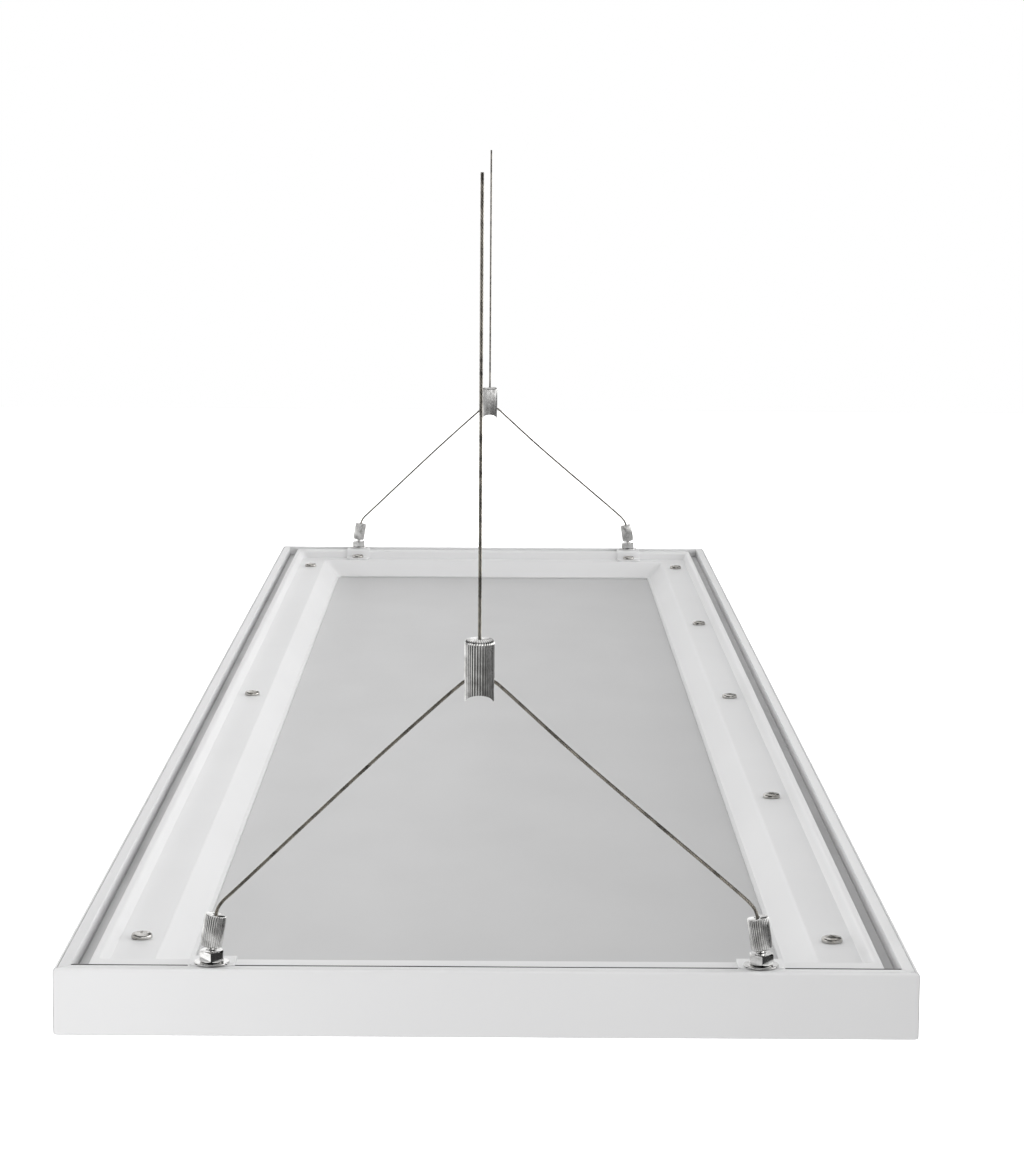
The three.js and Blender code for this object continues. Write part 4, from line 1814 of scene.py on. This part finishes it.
@dataclass
class PowerInlet:
    """A round jack in the rear rail."""

    nose_length: float = 6.4 * MM
    bore: float = 2.8 * MM
    bore_depth: float = 9.0 * MM
    pin: float = 1.0 * MM
    nose: float = 4.0 * MM
    lip: float = 0.35 * MM
    edge: float = 0.4 * MM

    def build(self) -> list[bpy.types.Object]:
        """Turns the jack, its mouth to the rear.

        Returns:
            The inlet, alone in a list.
        """
        low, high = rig.box("power_inlet")
        body, total = (high.x - low.x) / 2, high.y - low.y
        edge = self.edge
        profile = [
            (TIP, -total),
            (body - edge, -total),
            *arc((body - edge, -total + edge), edge, 270, 360, 4),
            *arc((body - edge, -self.nose_length - edge), edge, 0, 90, 4),
            (self.nose, -self.nose_length),
            *arc((self.nose - self.lip, -self.lip), self.lip, 0, 90, 5),
            *arc((self.bore + self.lip, -self.lip), self.lip, 90, 180, 5),
            (self.bore, -self.bore_depth),
            (self.pin, -self.bore_depth),
            (self.pin, -self.pin - edge),
            *arc((self.pin - edge, -self.pin - edge), edge, 0, 90, 4),
            (TIP, -self.pin),
        ]
        mesh = turned(profile, 64).mesh("power_inlet")
        place = Matrix.Translation(((low.x + high.x) / 2, high.y, (low.z + high.z) / 2))
        place @= Matrix.Rotation(-math.pi / 2, 4, "X")
        return [piece("power_inlet_jack", mesh, BLACK_PLASTIC, FIXTURE, ["power_inlet"], place)]


@dataclass
class Inside:
    """The sheets, bars, boards and driver, which keep their CAD shapes."""

    finishes: Mapping[str, Finish]

    def build(self) -> list[bpy.types.Object]:
        """Dresses each node."""
        return [finish.dress(frame["nodes"][node]) for node, finish in self.finishes.items()]


# ---- Studio ----


@dataclass(frozen=True)
class SoftBox:
    """One soft light near the object, aimed at the middle of it and kept out of its reflections."""

    name: str
    place: tuple[float, float, float]
    side: float
    power: float

    def build(self) -> None:
        """Hangs the lamp."""
        lamp = bpy.data.lights.new(self.name, "AREA")
        lamp.shape = "SQUARE"
        lamp.size = self.side
        lamp.energy = self.power
        holder = bpy.data.objects.new(self.name, lamp)
        holder.location = self.place
        holder.visible_glossy = False
        holder.rotation_euler = (-Vector(self.place)).to_track_quat("-Z", "Y").to_euler()
        bpy.context.scene.collection.objects.link(holder)


@dataclass(frozen=True)
class WallBand:
    """One band of the studio's walls, from its lower edge up to the next band."""

    low: float
    levels: Sequence[float]

    def level(
        self, graph: Graph, around: Value, edges: Sequence[float], blur: float, most: float
    ) -> Value:
        """How bright the band is.

        Args:
            graph: The world's graph.
            around: The way round the studio, from zero to one.
            edges: The angles in degrees where one panel of wall ends and the next starts.
            blur: Half the width in degrees of the change from panel to panel.
            most: The brightness that the ramp's white stands for.

        Returns:
            The brightness.
        """
        if len(self.levels) == 1:
            return 0.0 * around + self.levels[0]
        stops = []
        for low, high, level in zip(edges, edges[1:], self.levels):
            share = level / most
            for angle in (low + blur, high - blur):
                stops.append(((angle + 180.0) / 360.0, (share, share, share, 1.0)))
        ramp = graph.node("ShaderNodeValToRGB", {"stops": stops}, {0: around})
        return most * Value(graph, ramp.outputs[0])


@dataclass
class Studio:
    """The camera, a white sweep far below, and walls and soft boxes that light the object."""

    camera: tuple[float, float, float] = (0.0027, -1.6812, 0.3001)
    yaw: float = 0.267
    pitch: float = 7.581
    roll: float = 0.40
    lens: float = 100.6
    floor_level: float = -4.6
    floor_reach: float = 60.0
    floor_colour: Colour = (0.9, 0.9, 0.9, 1.0)
    wall_edges: Sequence[float] = (-180.0, -120.0, -57.0, 0.0, 70.0, 120.0, 180.0)
    wall_blur: float = 5.0
    wall_most: float = 5.0
    walls: Sequence[WallBand] = (
        WallBand(-90.0, (0.8,)),
        WallBand(-30.0, (0.3, 1.6, 0.35, 0.05, 0.25, 1.4)),
        WallBand(0.0, (1.2, 1.66, 0.0, 1.93, 4.19, 0.79)),
        WallBand(20.0, (1.11, 0.0, 0.0, 0.0, 0.53, 0.0)),
        WallBand(50.0, (1.11,)),
    )
    boxes: Sequence[SoftBox] = (
        SoftBox("front_left_low", (-0.9, -1.5, 0.15), 0.5, 8.6),
        SoftBox("right", (1.0, 0.0, 0.8), 0.6, 3.4),
    )

    def place_camera(self) -> None:
        """Sets the camera up."""
        yaw, pitch, roll = (math.radians(a) for a in (self.yaw, self.pitch, self.roll))
        level = math.cos(pitch)
        ahead = Vector((math.sin(yaw) * level, math.cos(yaw) * level, -math.sin(pitch)))
        right = Vector((math.cos(yaw), -math.sin(yaw), 0.0))
        up = right.cross(ahead)
        turned_right = math.cos(roll) * right + math.sin(roll) * up
        turned_up = math.cos(roll) * up - math.sin(roll) * right
        lens = bpy.data.cameras.new("camera")
        lens.lens = self.lens
        lens.sensor_width = 36.0
        holder = bpy.data.objects.new("camera", lens)
        turn = Matrix((turned_right, turned_up, -ahead)).transposed()
        holder.matrix_world = Matrix.Translation(self.camera) @ turn.to_4x4()
        bpy.context.scene.collection.objects.link(holder)
        bpy.context.scene.camera = holder

    def lay_floor(self) -> None:
        """Lays a white sweep, which the walls' lowest bands stand for in its light."""
        reach = self.floor_reach
        shell = Shell()
        corners = ((-reach, -reach), (reach, -reach), (reach, reach), (-reach, reach))
        shell.lid(shell.loop((x, y, self.floor_level) for x, y in corners))
        floor = bpy.data.objects.new("floor", shell.mesh("floor"))
        bpy.context.scene.collection.objects.link(floor)
        material = bpy.data.materials.new("sweep")
        material.use_nodes = True
        graph = Graph(material.node_tree)
        sockets = {"Base Color": self.floor_colour, "Roughness": 0.9}
        sockets |= {"Emission Color": WHITE, "Emission Strength": 1.0}
        shader = graph.node("ShaderNodeBsdfPrincipled", None, sockets)
        graph.node("ShaderNodeOutputMaterial", None, {"Surface": shader.outputs[0]})
        floor.data.materials.append(material)
        for ray in ("diffuse", "glossy", "transmission", "shadow"):
            setattr(floor, f"visible_{ray}", False)
        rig.stage(floor)

    def light_walls(self) -> None:
        """Sets up the walls, white where they are seen and each at its own level in its light."""
        world = bpy.data.worlds.new("walls")
        world.use_nodes = True
        bpy.context.scene.world = world
        graph = Graph(world.node_tree, "Generated")
        split = graph.node("ShaderNodeSeparateXYZ", None, {0: graph.place})
        x, y, z = (Value(graph, socket) for socket in split.outputs)
        turn = graph.node("ShaderNodeMath", {"operation": "ARCTAN2"}, {0: x, 1: 0.0 - y})
        around = Value(graph, turn.outputs[0]) * (0.5 / math.pi) + 0.5
        glow = None
        for band in self.walls:
            level = band.level(graph, around, self.wall_edges, self.wall_blur, self.wall_most)
            if glow is None:
                glow = level
                continue
            edges = (band.low - self.wall_blur / 2, band.low + self.wall_blur / 2)
            low, high = (math.sin(math.radians(edge)) for edge in edges)
            glow = glow + (level - glow) * z.smooth(low, high)
        lit, seen = (
            graph.node("ShaderNodeBackground", None, {"Color": WHITE, "Strength": strength})
            for strength in (glow, 1.0)
        )
        path = graph.node("ShaderNodeLightPath")
        mixed = graph.node(
            "ShaderNodeMixShader", None,
            {0: path.outputs["Is Camera Ray"], 1: lit.outputs[0], 2: seen.outputs[0]},
        )
        graph.node("ShaderNodeOutputWorld", None, {"Surface": mixed.outputs[0]})
        bpy.context.scene.view_settings.view_transform = "Standard"

    def build(self) -> None:
        """Sets the studio up."""
        self.place_camera()
        self.lay_floor()
        self.light_walls()
        for box in self.boxes:
            box.build()


INSIDE_FINISHES: dict[str, Finish] = {
    "back_sheet": COIL_COAT,
    "reflector_sheet": FILM,
    "light_guide": ACRYLIC,
    "diffuser": OPAL,
    "led_bar_left": MILL_FINISH,
    "led_bar_right": MILL_FINISH,
    "led_board_left": LED_BOARD,
    "led_board_right": LED_BOARD,
    "driver_case": MILL_FINISH,
    "driver_lid": MILL_FINISH,
    "driver_board": GREEN_BOARD,
}


def main() -> None:
    """Builds the studio, then the light, wires first."""
    logging.basicConfig(level=logging.INFO, format="%(name)s %(message)s")
    Studio().build()
    made: list[bpy.types.Object] = []
    for end in End:
        made += Yoke(end).build()
    cover = RearCover()
    made += Frame().build()
    made += cover.build()
    made += FrontSeal().build()
    made += CoverScrews({Side.LEFT: 3, Side.RIGHT: 5}).build()
    made += Hangers().build(cover)
    made += PowerInlet().build()
    made += Inside(INSIDE_FINISHES).build()
    for each in made:
        LOG.info("%s: %d faces on %s", each.name, len(each.data.polygons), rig.body_of(each)[0])
    boxes = {"cad": CAD_BOX, "visual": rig.bounds()}
    with open("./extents.json", "w", encoding="utf-8") as file:
        json.dump({name: [list(corner) for corner in box] for name, box in boxes.items()}, file, indent=1)


if __name__ == "__main__":
    main()
